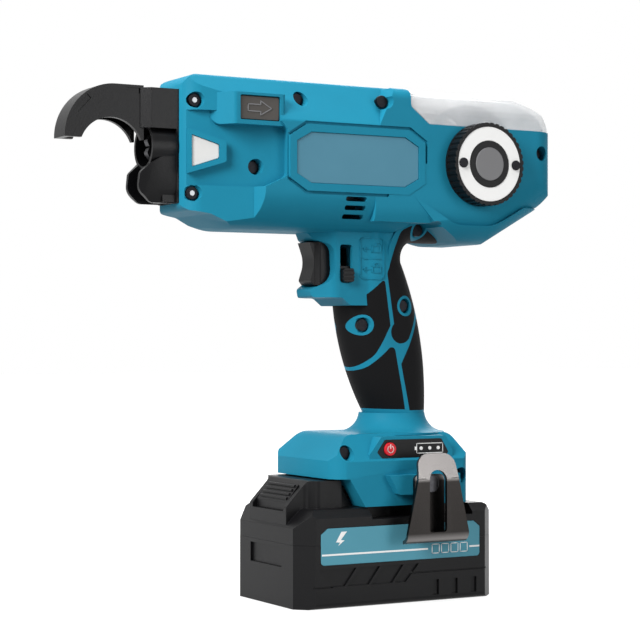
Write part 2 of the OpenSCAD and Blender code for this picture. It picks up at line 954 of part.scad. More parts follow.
// Nose casting: hook barrel, cheeks that clamp the jaw, two lower guide lobes.
lobe_half_w = 10.5;
lobe_t = 4.6;
jaw_root_x = -131;
jaw_root_end = -106.5;
jaw_root_low = 242;
pin_x = -109.5;
pin_z = 246;
pin_r = 2;
module nose_casting() {
    color(black)
        difference() {
            union() {
                box(body_front - 1, wall_x0, -nose_half_w, nose_half_w, nose_low, nose_top);
                prism_z(jaw_root_low - 2.6, nose_top)
                    polygon([
                        [jaw_root_x - 2, -jaw_half_w - 0.4], [jaw_root_x + 2.5, -nose_half_w],
                        [body_front, -nose_half_w], [body_front, nose_half_w],
                        [jaw_root_x + 2.5, nose_half_w], [jaw_root_x - 2, jaw_half_w + 0.4]
                    ]);
                bar_x(0, twist_z, barrel_r, mouth_x, body_front);
                both_sides()
                    guide_lobe();
                box(-122, body_front, 1 - lobe_half_w, lobe_half_w - 1, nose_low + 0.5, nose_low + 4);
            }
            bar_x(0, twist_z, barrel_bore_r, mouth_x - 10, wall_x0 - 2);
            bar_x(0, twist_z, shaft_r + 1, wall_x0 - 3, wall_x0 + 1);
            box(jaw_root_x - 10, jaw_root_end + seat_gap, -jaw_half_w - seat_gap, jaw_half_w + seat_gap,
                jaw_root_low - seat_gap, nose_top + 1);
            box(jaw_root_x - 10, jaw_root_x + seat_gap, -jaw_half_w - seat_gap, jaw_half_w + seat_gap,
                twist_z + 2, nose_top + 1);
            bar_x(0, feed_wire_z, 1, wall_x0 - 3, wall_x0 + 1);
            bar_y(pin_x, pin_z, pin_r + seat_gap, -20, 20);
            for (s = [screws[0], screws[1]])
                bar_y(s[0], s[1], screw_r + seat_gap, s[2], s[3] + 0.3);
        }
}

// Lower guide lobe with slanted facets on its outer front and lower edges.
module guide_lobe() {
    inner = lobe_t - lobe_half_w;
    intersection() {
        prism_y(-20, inner)
            outline([
                [body_front, twist_z], [mouth_x + 0.5, twist_z - 8], [-133.4, 217.6, 3],
                [-134.4, 209, 6], [-128, nose_low, 4], [body_front, nose_low]
            ]);
        prism_z(0, big)
            polygon([[-140, -6.2], [-126, -lobe_half_w], [-113, -lobe_half_w], [-113, 0], [-140, 0]]);
        prism_x(-140, -100)
            polygon([[-lobe_half_w - 1, 212], [-7.2, nose_low - 1], [0, nose_low - 1], [0, 240],
                [-lobe_half_w - 1, 240]]);
    }
}

// Curved jaw: two side plates and an outer rim round the wire channel.
jaw_c = [-145.5, 233.3];
throat_c = [-148, 226.8];
jaw_rim = 3.2;
rim_step = 0.8;
module jaw_profile(r) {
    left = jaw_c[0] - r;
    low = jaw_c[1] - 5;
    top = jaw_c[1] + r;
    difference() {
        intersection() {
            outline([[jaw_root_x + 5, low], [jaw_root_x + 5, top], [left, top, r - 0.5], [left, low]]);
            translate([-200, jaw_c[1]])
                square([200 + jaw_root_x, 100]);
        }
        translate(throat_c)
            circle(r = jaw_throat_r);
    }
}

module upper_jaw() {
    color(black)
        difference() {
            union() {
                both_sides()
                    prism_y(-jaw_half_w, -jaw_half_w + jaw_plate)
                        jaw_profile(jaw_r - rim_step);
                prism_y(-jaw_half_w, jaw_half_w)
                    difference() {
                        jaw_profile(jaw_r);
                        jaw_profile(jaw_r - jaw_rim);
                        translate([-160, 200])
                            square([60, 37]);
                    }
                box(jaw_root_x - eps, jaw_root_end, -jaw_half_w, jaw_half_w, jaw_root_low, nose_top);
            }
            bar_x(0, feed_wire_z, 1, -140, jaw_root_end + 1);
            bar_y(pin_x, pin_z, pin_r + seat_gap, -20, 20);
            both_sides()
                jaw_tabs();
        }
}

// Shallow tab slots where the rim is staked into the side plates.
tab_depth = 0.5;
tab_in = 4.2;
tab_out = 1.4;
module jaw_tabs() {
    y0 = -jaw_half_w - 1;
    y1 = -jaw_half_w + tab_depth;
    box(-140.5, -132.5, y0, y1, jaw_c[1] + jaw_r - tab_in, jaw_c[1] + jaw_r - tab_out);
    translate([jaw_c[0], 0, jaw_c[1]])
        rotate([0, -137, 0])
            box(jaw_r - tab_in, jaw_r - tab_out, y0, y1, -5, 5);
}

module jaw_pin() {
    color(steel)
        bar_y(pin_x, pin_z, pin_r, -nose_half_w, nose_half_w);
}

// Gears with involute flanks and a little backlash, drawn in their own plane.
backlash = 0.08;
function inv(a) = tan(a) * 180 / PI - a;
function half_tooth(n, r) =
    let (rp = n * gear_m / 2, rb = rp * cos(20), a = acos(rb / max(r, rb)))
    90 / n + inv(20) - inv(a) - backlash / rp * 90 / PI;
module gear(n, phase = 0) {
    rp = n * gear_m / 2;
    radii = [rp - gear_m, rp - 0.5 * gear_m, rp, rp + 0.4 * gear_m, rp + 0.8 * gear_m];
    polygon([
        for (k = [0:n - 1])
            for (i = [0:9])
                let (r = radii[i < 5 ? i : 9 - i], side = i < 5 ? -1 : 1)
                let (a = phase + k * 360 / n + side * half_tooth(n, r))
                r * [cos(a), sin(a)]
    ]);
}

// Gearbox frame: three walls on a floor plate, held by the ribs and the nose.
frame_wall = 6;
rear_wall_x = -72;
motor_plate_x = -54;
lever_y = 9;
lever_z = 239.5;
lever_pin_r = 1.5;
tube_r = 2;
module gearbox_frame() {
    color("#8d9196")
        difference() {
            union() {
                box(wall_x0, motor_x0, -frame_half_w, frame_half_w, frame_low, frame_low + 5);
                for (x = [wall_x0, rear_wall_x])
                    box(x, x + frame_wall, -frame_half_w, frame_half_w, frame_low, frame_top);
                box(motor_plate_x, motor_x0, -frame_half_w, frame_half_w, frame_low, motor_z + 12);
                box(rear_wall_x, rear_wall_x + frame_wall, -4, 4, frame_top - 1, feed_wire_z + 3.5);
                bar_x(lever_y, lever_z, lever_pin_r, wall_x0 + frame_wall - 1, wall_x0 + frame_wall + 3.4);
            }
            for (x = [wall_x0, rear_wall_x])
                bar_x(0, twist_z, bearing_r + seat_gap, x - 1, x + frame_wall + 1);
            bar_x(0, motor_z, motor_boss_r + seat_gap, motor_plate_x - 1, motor_x0 + 1);
            bar_x(0, feed_wire_z, tube_r + seat_gap, rear_wall_x - 1, rear_wall_x + frame_wall + 1);
        }
}

module ring_x(z, r, bore, x0, x1) {
    difference() {
        bar_x(0, z, r, x0, x1);
        bar_x(0, z, bore, x0 - 1, x1 + 1);
    }
}

module front_bearing() {
    color(steel)
        ring_x(twist_z, bearing_r, shaft_r + run_fit, wall_x0, wall_x0 + frame_wall);
}

module rear_bearing() {
    color(steel)
        ring_x(twist_z, bearing_r, shaft_r + run_fit, rear_wall_x, rear_wall_x + frame_wall);
}

// Twist motor, its pinion, and the shaft that turns the twist hook.
motor_boss_r = 8;
motor_bore_r = 1.6;
gear_x0 = -63;
gear_w = 6;
shaft_x0 = -112;
shaft_x1 = -55;
module twist_motor() {
    color("#6b6f74")
        difference() {
            union() {
                bar_x(0, motor_z, motor_boss_r, motor_plate_x + 0.2, motor_x0 + 1);
                bar_x(0, motor_z, motor_r, motor_x0, motor_x0 + motor_l);
                bar_x(0, motor_z, motor_boss_r + 1, motor_x0 + motor_l - 1, motor_x0 + motor_l + 4);
            }
            bar_x(0, motor_z, motor_bore_r, motor_plate_x - 1, motor_x0 + 6);
        }
}

module motor_pinion() {
    color(steel) {
        prism_x(gear_x0, gear_x0 + gear_w)
            translate([0, motor_z])
                gear(12, 15);
        bar_x(0, motor_z, motor_bore_r - run_fit, gear_x0 + 1, motor_x0 + 5);
    }
}

module twist_gear() {
    color(steel)
        difference() {
            prism_x(gear_x0, gear_x0 + gear_w)
                translate([0, twist_z])
                    gear(28);
            bar_x(0, twist_z, shaft_r + seat_gap, gear_x0 - 1, gear_x0 + gear_w + 1);
        }
}

module twist_shaft() {
    color(steel)
        bar_x(0, twist_z, shaft_r, shaft_x0, shaft_x1);
}

// Twist hook: a cup on the shaft's end with two hooked fingers.
hook_cup_r = 8;
module twist_hook() {
    color("#55585c")
        difference() {
            union() {
                bar_x(0, twist_z, hook_cup_r, -117, shaft_x0 + 3.5);
                for (a = [0, 180])
                    translate([0, 0, twist_z])
                        rotate([a, 0, 0])
                            prism_y(-2, 2)
                                outline([
                                    [-116, 2.5], [-116, 7.2], [-124, 7.2, 3], [-127, 3, 1.5], [-125, -1.2, 1],
                                    [-123.4, 2.5, 1]
                                ]);
            }
            bar_x(0, twist_z, shaft_r + seat_gap, shaft_x0, shaft_x0 + 5);
        }
}

// Wire feed: two toothed wheels, a pinion and its motor between two plates.
feed_x = -4;
feed_right = 9.3;
plate_w = 2;
feed_axle_r = 2;
feed_low_z = feed_wire_z - 8 * gear_m;
feed_high_z = feed_wire_z + 8 * gear_m;
feed_pinion_x = feed_x - 14 * gear_m;
feed_frame_x0 = -25;
feed_motor_r = 11;
pinion_shaft_r = 1.25;
module feed_frame() {
    color("#8d9196")
        difference() {
            union() {
                for (y = [feed_left, feed_right])
                    box(feed_frame_x0, bay_end, y, y + plate_w, 233.5, 262);
                box(feed_frame_x0, feed_frame_x0 + plate_w, feed_left, feed_right + plate_w, 233.5, 252);
            }
            for (z = [feed_low_z, feed_high_z])
                bar_y(feed_x, z, feed_axle_r + seat_gap, feed_left - 1, feed_right + plate_w + 1);
            bar_y(feed_pinion_x, feed_low_z, 3, feed_right - 1, feed_right + plate_w + 1);
            bar_y(screws[4][0], screws[4][1], screw_r + seat_gap, feed_left - 1, feed_left + plate_w + 1);
            bar_x(0, feed_wire_z, tube_r + seat_gap, feed_frame_x0 - 1, feed_frame_x0 + plate_w + 1);
        }
}

module feed_axles() {
    color(steel)
        for (z = [feed_low_z, feed_high_z])
            bar_y(feed_x, z, feed_axle_r, feed_left, feed_right + plate_w);
}

module feed_wheel(z, y0, y1, phase) {
    color(steel)
        difference() {
            prism_y(y0, y1)
                translate([feed_x, z])
                    gear(16, phase);
            bar_y(feed_x, z, feed_axle_r + run_fit, y0 - 1, y1 + 1);
        }
}

module lower_feed_gear() {
    feed_wheel(feed_low_z, -3, 8.9, 0);
}

module upper_feed_gear() {
    feed_wheel(feed_high_z, -3, 3, 11.25);
}

module feed_pinion() {
    color(steel) {
        prism_y(3.6, 8.9)
            translate([feed_pinion_x, feed_low_z])
                gear(12, 15);
        bar_y(feed_pinion_x, feed_low_z, pinion_shaft_r - run_fit, 4, 15);
    }
}

module feed_motor() {
    color("#6b6f74")
        difference() {
            bar_y(feed_pinion_x, feed_low_z, feed_motor_r, feed_right + plate_w, 21.5);
            bar_y(feed_pinion_x, feed_low_z, pinion_shaft_r, feed_right, 16);
        }
}

module wire_guide_tube() {
    color(steel)
        ring_x(feed_wire_z, tube_r, 0.8, -90, feed_frame_x0 + plate_w);
}

// Wire cutter: a die on the frame and a lever that shears across its face.
module cutter_die() {
    color("#55585c")
        difference() {
            box(wall_x0, wall_x0 + frame_wall, -5, 5, frame_top, frame_top + 7);
            bar_x(0, feed_wire_z, 0.9, wall_x0 - 1, wall_x0 + frame_wall + 1);
        }
}

module cutter_lever() {
    x0 = wall_x0 + frame_wall + move_gap;
    color(steel)
        prism_x(x0, x0 + 2.6)
            difference() {
                union() {
                    translate([lever_y, lever_z])
                        circle(r = 3.6);
                    outline([[lever_y - 3.4, lever_z - 1], [lever_y + 3.4, lever_z + 1], [3, 251, 1.5],
                        [-2.4, 251, 1.5]]);
                }
                translate([lever_y, lever_z])
                    circle(r = lever_pin_r + run_fit);
            }
}

// Wire reel, empty, on a fixed stub at the right and a sprung plunger at the left.
reel_y = reel_half_w - reel_side_gap;
flange_t = 2;
plunger_r = hub_bore_r - run_fit;
engaged = 3.5;
module wire_reel() {
    color("#c9ccd0")
        difference() {
            union() {
                bar_y(reel_x, reel_z, hub_r, -reel_y, reel_y);
                for (y = [-reel_y, reel_y - flange_t])
                    bar_y(reel_x, reel_z, reel_r, y, y + flange_t);
            }
            bar_y(reel_x, reel_z, hub_bore_r, -reel_y - 1, reel_y + 1);
            for (a = [0:60:300])
                bar_y(reel_x + 23.5 * cos(a), reel_z + 23.5 * sin(a), 5, -reel_y - 1, reel_y + 1);
        }
}

module reel_stub_axle() {
    color(steel) {
        bar_y(reel_x, reel_z, plunger_r, reel_y - engaged, reel_half_w);
        bar_y(reel_x, reel_z, hub_bore_r + 4, reel_half_w - reel_side_gap * 0.6, reel_half_w);
    }
}

sleeve_bore_r = hub_bore_r + 1.4;
sleeve_end = body_half_w + 7;
collar_y = body_half_w - 0.5;
module plunger_sleeve() {
    color(steel)
        difference() {
            union() {
                bar_y(reel_x, reel_z, sleeve_r, -sleeve_end, -reel_half_w);
                bar_y(reel_x, reel_z, sleeve_r + 2.8, -body_half_w - 1.2, -body_half_w);
            }
            bar_y(reel_x, reel_z, hub_bore_r, -sleeve_end - 1, -reel_half_w + 1);
            bar_y(reel_x, reel_z, sleeve_bore_r, -sleeve_end + 1, -reel_half_w - 1);
        }
}

module spool_plunger() {
    color(steel) {
        bar_y(reel_x, reel_z, plunger_r, -sleeve_end - 0.9, -reel_y + engaged);
        bar_y(reel_x, reel_z, sleeve_bore_r - 0.3, -collar_y, -reel_half_w - 1.1);
    }
}

// A spring as one unbroken tube along Z, with its least gap measured.
ring_n = 8;
side_n = 6;
function coil_at(r, h, turns, t) = [r * cos(360 * turns * t), r * sin(360 * turns * t), h * t];
function coil_ring(r, h, turns, wire, t) =
    let (a = 360 * turns * t, c = coil_at(r, h, turns, t), out = [cos(a), sin(a), 0])
    [for (k = [0:side_n - 1]) c + wire * (cos(60 * k) * out + [0, 0, sin(60 * k)])];
module coil(r, h, turns, wire) {
    n = ceil(ring_n * turns);
    rings = [for (i = [0:n]) coil_ring(r, h - 2 * wire, turns, wire, i / n)];
    points = [for (q = rings) each q];
    last = n * side_n;
    translate([0, 0, wire])
        polyhedron(
            points = points,
            faces = concat(
                [[for (k = [0:side_n - 1]) k]],
                [for (i = [0:n - 1])
                    for (k = [0:side_n - 1])
                        let (a = i * side_n + k, b = i * side_n + (k + 1) % side_n)
                        each [[a, a + side_n, b + side_n], [a, b + side_n, b]]],
                [[for (k = [0:side_n - 1]) last + side_n - 1 - k]]
            ),
            convexity = 10
        );
    echo(least_coil_gap = min([
        for (i = [0:n - ring_n])
            for (j = [i + ring_n - 1:min(n, i + ring_n + 1)])
                norm(coil_at(r, h - 2 * wire, turns, i / n) - coil_at(r, h - 2 * wire, turns,
                    j / n)) - 2 * wire
    ]));
}

plunger_wire = 0.3;
module plunger_spring() {
    color(steel)
        translate([reel_x, -collar_y - 0.05, reel_z])
            rotate([90, 0, 0])
                coil((plunger_r + sleeve_bore_r) / 2, sleeve_end - 1.1 - collar_y, 3, plunger_wire);
}

// Ribbed knob that turns on the plunger, with its white ring, screws and cap.
knob_back = body_half_w + 0.5;
knob_face = knob_back + knob_t;
ring_t = 1.4;
knob_screw_a = [0, 180];
knob_screw_at = (ring_r + knob_hub_r) / 2 + 0.6;
module spool_knob() {
    color(black)
        difference() {
            bar_y(reel_x, reel_z, knob_r, -knob_face, -knob_back);
            bar_y(reel_x, reel_z, sleeve_r + 3.4, -sleeve_end - 0.6, -knob_back + 1);
            bar_y(reel_x, reel_z, hub_bore_r, -sleeve_end - 1.1, -knob_back + 1);
            difference() {
                bar_y(reel_x, reel_z, ring_r + seat_gap, -knob_face - 1, -knob_face + ring_t);
                bar_y(reel_x, reel_z, knob_hub_r - seat_gap, -knob_face - 2, -knob_face + ring_t + 1);
            }
            bar_y(reel_x, reel_z, cap_r + seat_gap, -knob_face - 1, -knob_face + 0.8);
            for (i = [0:knob_ribs - 1])
                bar_y(reel_x + (knob_r + 0.3) * cos(i * 360 / knob_ribs),
                    reel_z + (knob_r + 0.3) * sin(i * 360 / knob_ribs),
                    0.9, -knob_face - 1, -knob_back - 1.4);
            knob_screw_holes();
        }
}

module knob_screw_holes() {
    for (a = knob_screw_a)
        bar_y(reel_x + knob_screw_at * cos(a), reel_z + knob_screw_at * sin(a), 1.3 + seat_gap,
            -knob_face - 1, -knob_face + 5);
}

module knob_ring() {
    color("white")
        difference() {
            bar_y(reel_x, reel_z, ring_r, -knob_face + 0.2, -knob_face + ring_t);
            bar_y(reel_x, reel_z, knob_hub_r, -knob_face - 1, -knob_face + ring_t + 1);
            knob_screw_holes();
        }
}

module knob_screws() {
    color(steel)
        for (a = knob_screw_a)
            translate([reel_x + knob_screw_at * cos(a), 0, reel_z + knob_screw_at * sin(a)]) {
                bar_y(0, 0, 2.6, -knob_face - 0.9, -knob_face + 0.2);
                bar_y(0, 0, 1.3, -knob_face, -knob_face + 4.8);
            }
}

module knob_cap() {
    color("#737376")
        bar_y(reel_x, reel_z, cap_r, -knob_face - 0.4, -knob_face + 0.8);
}

// Clear cover over the reel, hinged at its front edge.
cover_half_w = body_half_w - 0.4;
cover_gap = 0.3;
cover_back = body_rear - 12;
module cover_side_view(d) {
    front = cover_front + 0.5 + d;
    low = cover_seat + cover_gap - d;
    lean = [8.2, -9.4];
    intersection() {
        outline([
            [front, 200], [cover_back - d + 6 * lean[0], 257 - d + 6 * lean[1]],
            [cover_back - d, 257 - d, 20],
            [reel_x + 22 - 0.4 * d, reel_top - d, 24], [front, reel_top - d]
        ]);
        polygon([[20.9 + d, low], [140, low], [140, 300], [0, 300], [0, 256.3 + d], [front, 256.3 + d]]);
    }
}

module cover_form(d) {
    w = cover_half_w - d;
    intersection() {
        prism_y(-big, big)
            cover_side_view(d);
        prism_x(0, 120)
            outline([[-w, 230], [w, 230], [w, reel_top + 0.2 - d, 13 - d], [-w, reel_top + 0.2 - d, 13 - d]]);
        prism_z(0, big)
            outline([
                [0, -w - 1], [body_rear - 0.6 - d, -w - 0.1, 14.6 - d],
                [body_rear - 0.6 - d, w + 0.1, 14.6 - d], [0, w + 1]
            ]);
    }
}

module spool_cover() {
    color("#dfe8ea", 0.4)
        difference() {
            union() {
                difference() {
                    cover_form(0);
                    cover_form(cover_wall);
                    box(0, hinge_x, -big, big, hinge_z, 300);
                }
                bar_y(hinge_x, hinge_z, knuckle_r, move_gap - ear_y0, ear_y0 - move_gap);
            }
            both_sides()
                box(0, hinge_x + knuckle_r + 1, ear_y0 - move_gap, ear_y1 + move_gap,
                    hinge_z - knuckle_r - 1, 300);
            bar_y(hinge_x, hinge_z, hinge_r + run_fit, -big, big);
        }
}

module cover_hinge_pin() {
    color(steel)
        bar_y(hinge_x, hinge_z, hinge_r, -ear_y1, ear_y1);
}

// Trigger with its spring and switch.
trigger_x = -24.5;
trigger_mid = (trigger_low + trigger_high) / 2;
spring_bore_r = 4.2;
spring_seat = 4.8;
trigger_lip_w = 6.4;
switch_stub = 1.5;
module trigger() {
    w = trigger_half_w;
    low = trigger_low + 0.8;
    high = trigger_high - 0.8;
    color(black)
        difference() {
            union() {
                intersection() {
                    prism_y(-w, w)
                        outline([
                            [trigger_x, low], [trigger_x, high], [-37.2, high], [-33.6, trigger_mid + 1, 14],
                            [-36.8, low + 2.4, 1.6], [-34.8, low, 1.6]
                        ]);
                    prism_z(0, big)
                        outline([
                            [-42, -trigger_lip_w], [-34.2, -trigger_lip_w, 0.6], [-32.4, -w - eps, 1.5],
                            [-20, -w - eps],
                            [-20, w + eps], [-32.4, w + eps, 1.5], [-34.2, trigger_lip_w, 0.6],
                            [-42, trigger_lip_w]
                        ]);
                }
                box(trigger_x - 1, trigger_x + 1, -ear_half_w, ear_half_w, low + 4, high - 4);
            }
            bar_x(0, trigger_mid, spring_bore_r, trigger_x - spring_seat - seat_gap, trigger_x + 2);
        }
}

module trigger_spring() {
    color(steel)
        translate([trigger_x - spring_seat, 0, trigger_mid])
            rotate([0, 90, 0])
                coil(3.2, switch_x0 - trigger_x + spring_seat - seat_gap, 6, 0.35);
}

module trigger_switch() {
    color(black) {
        box(switch_x0, switch_x1, -switch_half_w, switch_half_w, switch_low, switch_high);
        bar_x(0, trigger_mid, 2, switch_x0 - switch_stub, switch_x0 + 1);
    }
}

// Circuit board and blade terminals in the foot.
module control_board() {
    color("#2f6b3c")
        box(foot_bay_x0 + 1, foot_bay_x1 - 1, 1 - foot_bay_half_w, foot_bay_half_w - 1, board_z,
            board_z + board_t);
}

blade_y = [-12, 0, 12];
blade_t = 1;
blade_x0 = 14;
blade_x1 = 38;
module terminal_block() {
    color(black) {
        box(blade_x0 + 2, blade_x1, -16, 16, rail_top + move_gap, rail_top + 2.5);
        for (y = blade_y)
            box(blade_x0, blade_x1, y - blade_t / 2, y + blade_t / 2, rail_top - 4, rail_top + 1);
    }
}

// Indicator panel with three lamps and the power button.
lamp_x = [14, 19.3, 24.5];
lamp_z = 79;
lamp_r = 0.9;
module indicator_panel() {
    color(rubber)
        difference() {
            prism_y(-panel_face, -panel_face + panel_t)
                panel_outline();
            bar_y(power_x, power_z, power_r + move_gap, -40, -20);
            for (x = lamp_x)
                bar_y(x, lamp_z, lamp_r + seat_gap, -40, -20);
        }
}

module indicator_lamps() {
    color("#e8efe2")
        for (x = lamp_x)
            bar_y(x, lamp_z, lamp_r, -panel_face - 0.2, -panel_face + panel_t);
}

module power_button() {
    color("#c8202a")
        bar_y(power_x, power_z, power_r, -panel_face - 0.9, -panel_face + panel_t + 1);
}

// Belt hook: a strip bent to a U, with a wide tapered outer leg.
hook_t = 1.8;
hook_in_r = 3.5;
hook_out_r = hook_in_r + hook_t;
hook_bend_z = 36.5;
hook_low_half_w = 18.5;
hook_leg_half_w = 9;
hook_slot_half_w = 5.2;
hook_knee_z = 64;
hook_bend_y = hook_seat + hook_out_r;
hook_outer_y = hook_bend_y + hook_in_r;
module belt_hook() {
    color("#26272a")
        difference() {
            union() {
                prism_y(-hook_seat - hook_t, -hook_seat)
                    translate([hook_x, 0])
                        outline([
                            [-hook_leg_half_w, hook_bend_z], [hook_leg_half_w, hook_bend_z],
                            [hook_leg_half_w, 66, 3], [-hook_leg_half_w, 66, 3]
                        ]);
                intersection() {
                    prism_x(hook_x - hook_low_half_w, hook_x + hook_low_half_w)
                        translate([-hook_bend_y, hook_bend_z])
                            difference() {
                                circle(r = hook_out_r);
                                circle(r = hook_in_r);
                            }
                    union() {
                        box(-100, 100, -60, -hook_bend_y, 0, hook_bend_z);
                        box(hook_x - hook_leg_half_w, hook_x + hook_leg_half_w, -60, -30, 0, hook_bend_z);
                    }
                }
                prism_y(-hook_outer_y - hook_t, -hook_outer_y)
                    translate([hook_x, 0])
                        polygon([
                            [-hook_low_half_w, hook_bend_z], [hook_low_half_w, hook_bend_z],
                            [12.2, hook_knee_z + 0.2], [-12.2, hook_knee_z + 0.2]
                        ]);
                translate([hook_x, -hook_outer_y, hook_knee_z])
                    rotate([-15, 0, 0])
                        prism_y(-hook_t, 0)
                            outline([[-12.2, 0], [12.2, 0], [10.6, 13, 7], [-10.6, 13, 7]]);
            }
            prism_y(-60, -hook_outer_y + 1.2)
                translate([hook_x - 0.3, 0])
                    outline([
                        [-hook_slot_half_w, hook_bend_z + 0.4, 1.5],
                        [hook_slot_half_w, hook_bend_z + 0.4, 1.5],
                        [hook_slot_half_w, 68.6, 5], [-hook_slot_half_w, 68.6, 5]
                    ]);
            bar_y(hook_x, hook_screw_z, 2 + seat_gap, -hook_seat - 3, -30);
        }
}

module belt_hook_screw() {
    color(steel) {
        bar_y(hook_x, hook_screw_z, 4.5, -hook_seat - hook_t - 2, -hook_seat - hook_t);
        bar_y(hook_x, hook_screw_z, 2, -hook_seat - hook_t - 1, -foot_bay_half_w - 1);
    }
}

// Battery pack: lower tray and upper case with the slide rail and the latch pod.
pack_half_l = pack_l / 2;
pack_half_w = pack_w / 2;
module pack_plan(d = 0) {
    l = pack_half_l - d;
    w = pack_half_w - d;
    c = pack_chamfer - 0.58 * d;
    polygon([[-l, -w + c], [-l + c, -w], [l - c, -w], [l, -w + c], [l, w - c], [l - c, w], [-l + c, w],
        [-l, w - c]]);
}

label_x0 = -48;
label_x1 = 47.6;
label_z0 = 22;
label_z1 = 40.5;
label_t = 0.4;
module label_form(g, depth) {
    prism_y(-pack_half_w - 1, -pack_half_w + depth)
        outline([
            [label_x0 - g, label_z0 - g, 2], [label_x1 + g, label_z0 - g, 2], [label_x1 + g, label_z1 - 3],
            [label_x1 - 4, label_z1 + g], [label_x0 + 4, label_z1 + g], [label_x0 - g, label_z1 - 3]
        ]);
}

module pack_label() {
    color("#5fa5b9")
        intersection() {
            label_form(0, label_t);
            box(-big, big, -pack_half_w, 0, -big, big);
        }
}

tray_relief = 1.2;
module pack_lower_case() {
    color(black)
        difference() {
            intersection() {
                prism_z(0, pack_joint_z)
                    pack_plan();
                prism_x(-80, 80)
                    outline([
                        [-pack_half_w, 0, 3], [pack_half_w, 0, 3], [pack_half_w + eps, 60],
                        [-pack_half_w - eps, 60]
                    ]);
            }
            prism_z(pack_wall, pack_joint_z + 1)
                pack_plan(pack_wall);
            both_sides()
                tray_marks();
            label_form(seat_gap, label_t);
            box(-80, tray_relief - pack_half_l, -17, 17, 20, 30);
        }
}

// Grooves on the tray's side: stepped seam, slanted grip marks, upright slots.
module tray_marks() {
    prism_y(-pack_half_w - 1, -pack_half_w + tray_relief) {
        difference() {
            polygon([[-49, 20], [-41, 11], [2, 11], [10, 20]]);
            for (x = [-31, -17, -3])
                polygon([[x - 4, 10], [x - 2.6, 10], [x + 5.8, 21], [x + 4.4, 21]]);
        }
        for (x = [18.6, 30.2, 42])
            translate([x, 3.2])
                square([3.6, 8]);
        polygon([[-60, 10.6], [-41, 10.6], [-41, 11.6], [-60, 11.6]]);
        polygon([[5, 15], [55, 15], [55, 16], [6, 16]]);
    }
}

deck_cut_z = 44;
deck_cut_x0 = -18;
deck_cut_x1 = 43;
pod_rear = foot_step_x0 - 0.9;
pod_top = foot_nose_z - 0.8;
pod_half_w = 27;
pod_cheek_w = 20;
button_half_w = 16.2;
button_low = 47.5;
button_rear = -49;
button_front = -56;
button_sill = 48.2;
slot_low = button_low - latch_travel - move_gap;
release_x = -52.5;
slot_floor = 47.6;
module pack_upper_case() {
    color(black)
        difference() {
            union() {
                intersection() {
                    prism_z(pack_joint_z, 60)
                        pack_plan();
                    prism_y(-80, 80)
                        outline([
                            [-pack_half_l - 1, 20], [pack_half_l + 1, 20], [pack_half_l + 1, 44],
                            [pack_half_l - 7, deck_z, 4], [-50, deck_z, 4], [-pack_half_l - 1, 39.4]
                        ]);
                    prism_x(-80, 80)
                        polygon([
                            [-pack_half_w - 1, 20], [pack_half_w + 1, 20], [pack_half_w + 1, 44.5],
                            [pack_half_w - 4.5, deck_z + 0.1], [-pack_half_w + 4.5, deck_z + 0.1],
                            [-pack_half_w - 1, 44.5]
                        ]);
                }
                latch_pod();
                box(-16, rail_end, -rail_neck_half_w, rail_neck_half_w, deck_cut_z, rail_top - 1);
                box(-16, rail_end, -rail_half_w, rail_half_w, lip_z + move_gap, rail_top);
            }
            intersection() {
                prism_z(pack_joint_z - 1, deck_cut_z - pack_wall)
                    pack_plan(pack_wall);
                prism_y(-80, 80)
                    polygon([[-pack_half_l, 20], [pack_half_l, 20], [pack_half_l, 50], [-48, 50],
                        [-pack_half_l, 37]]);
            }
            both_sides()
                box(deck_cut_x0, deck_cut_x1, rail_half_w + 6, 60, deck_cut_z, 60);
            for (y = blade_y)
                box(blade_x0 - 2, rail_end + 1, y - 1.2, y + 1.2, slot_floor, 70);
            prism_y(-button_half_w - move_gap, button_half_w + move_gap)
                polygon([
                    [button_front - move_gap, slot_low], [button_rear + move_gap, slot_low],
                    [button_rear + move_gap, 70], [-70, 70], [-70, button_sill],
                    [button_front - move_gap, button_sill]
                ]);
            label_form(seat_gap, label_t);
        }
}

module latch_pod() {
    prism_y(-pod_half_w + 4, pod_half_w - 4)
        polygon([
            [pod_rear - 2, 46], [pod_rear + 11, 46], [pod_rear + 0.4, pod_top - 1.6],
            [pod_rear - 2, pod_top - 1.6]
        ]);
    intersection() {
        prism_y(-40, 40)
            outline([
                [-pack_half_l + 1, 38], [pod_rear, 38], [pod_rear, pod_top, 1.5], [-46, pod_top, 3],
                [-pack_half_l + 1, 50.5, 2]
            ]);
        prism_z(0, big)
            outline([
                [-70, -pod_cheek_w], [-47, -pod_cheek_w, 3], [-44, -pod_half_w, 3], [0, -pod_half_w],
                [0, pod_half_w], [-44, pod_half_w, 3], [-47, pod_cheek_w, 3], [-70, pod_cheek_w]
            ]);
        prism_x(-80, 0)
            outline([
                [-40, 30], [40, 30], [40, deck_z - 0.3], [pod_half_w + 0.4, deck_z + 1.5, 5],
                [pod_half_w - 3, pod_top + 1, 3],
                [3 - pod_half_w, pod_top + 1, 3], [-pod_half_w - 0.4, deck_z + 1.5, 5], [-40, deck_z - 0.3]
            ]);
    }
}

// Release latch in the front of the pod, with three grip ribs.
release_bore_r = 2.7;
release_seat = 54;
module release_button() {
    rise = [button_rear - button_front, pod_top - 2 - 52.4];
    color("#202022")
        difference() {
            union() {
                prism_y(-button_half_w, button_half_w)
                    outline([
                        [button_front, button_low], [button_rear, button_low], [button_rear, pod_top - 2],
                        [button_front, 52.4, 1.2]
                    ]);
                for (t = [0.2, 0.42, 0.64, 0.86])
                    bar_y(button_front + t * rise[0], 52.4 + t * rise[1],
                        0.8, 2 - button_half_w, button_half_w - 2);
            }
            translate([release_x, 0, 40])
                cylinder(r = release_bore_r, h = release_seat - 40);
        }
}

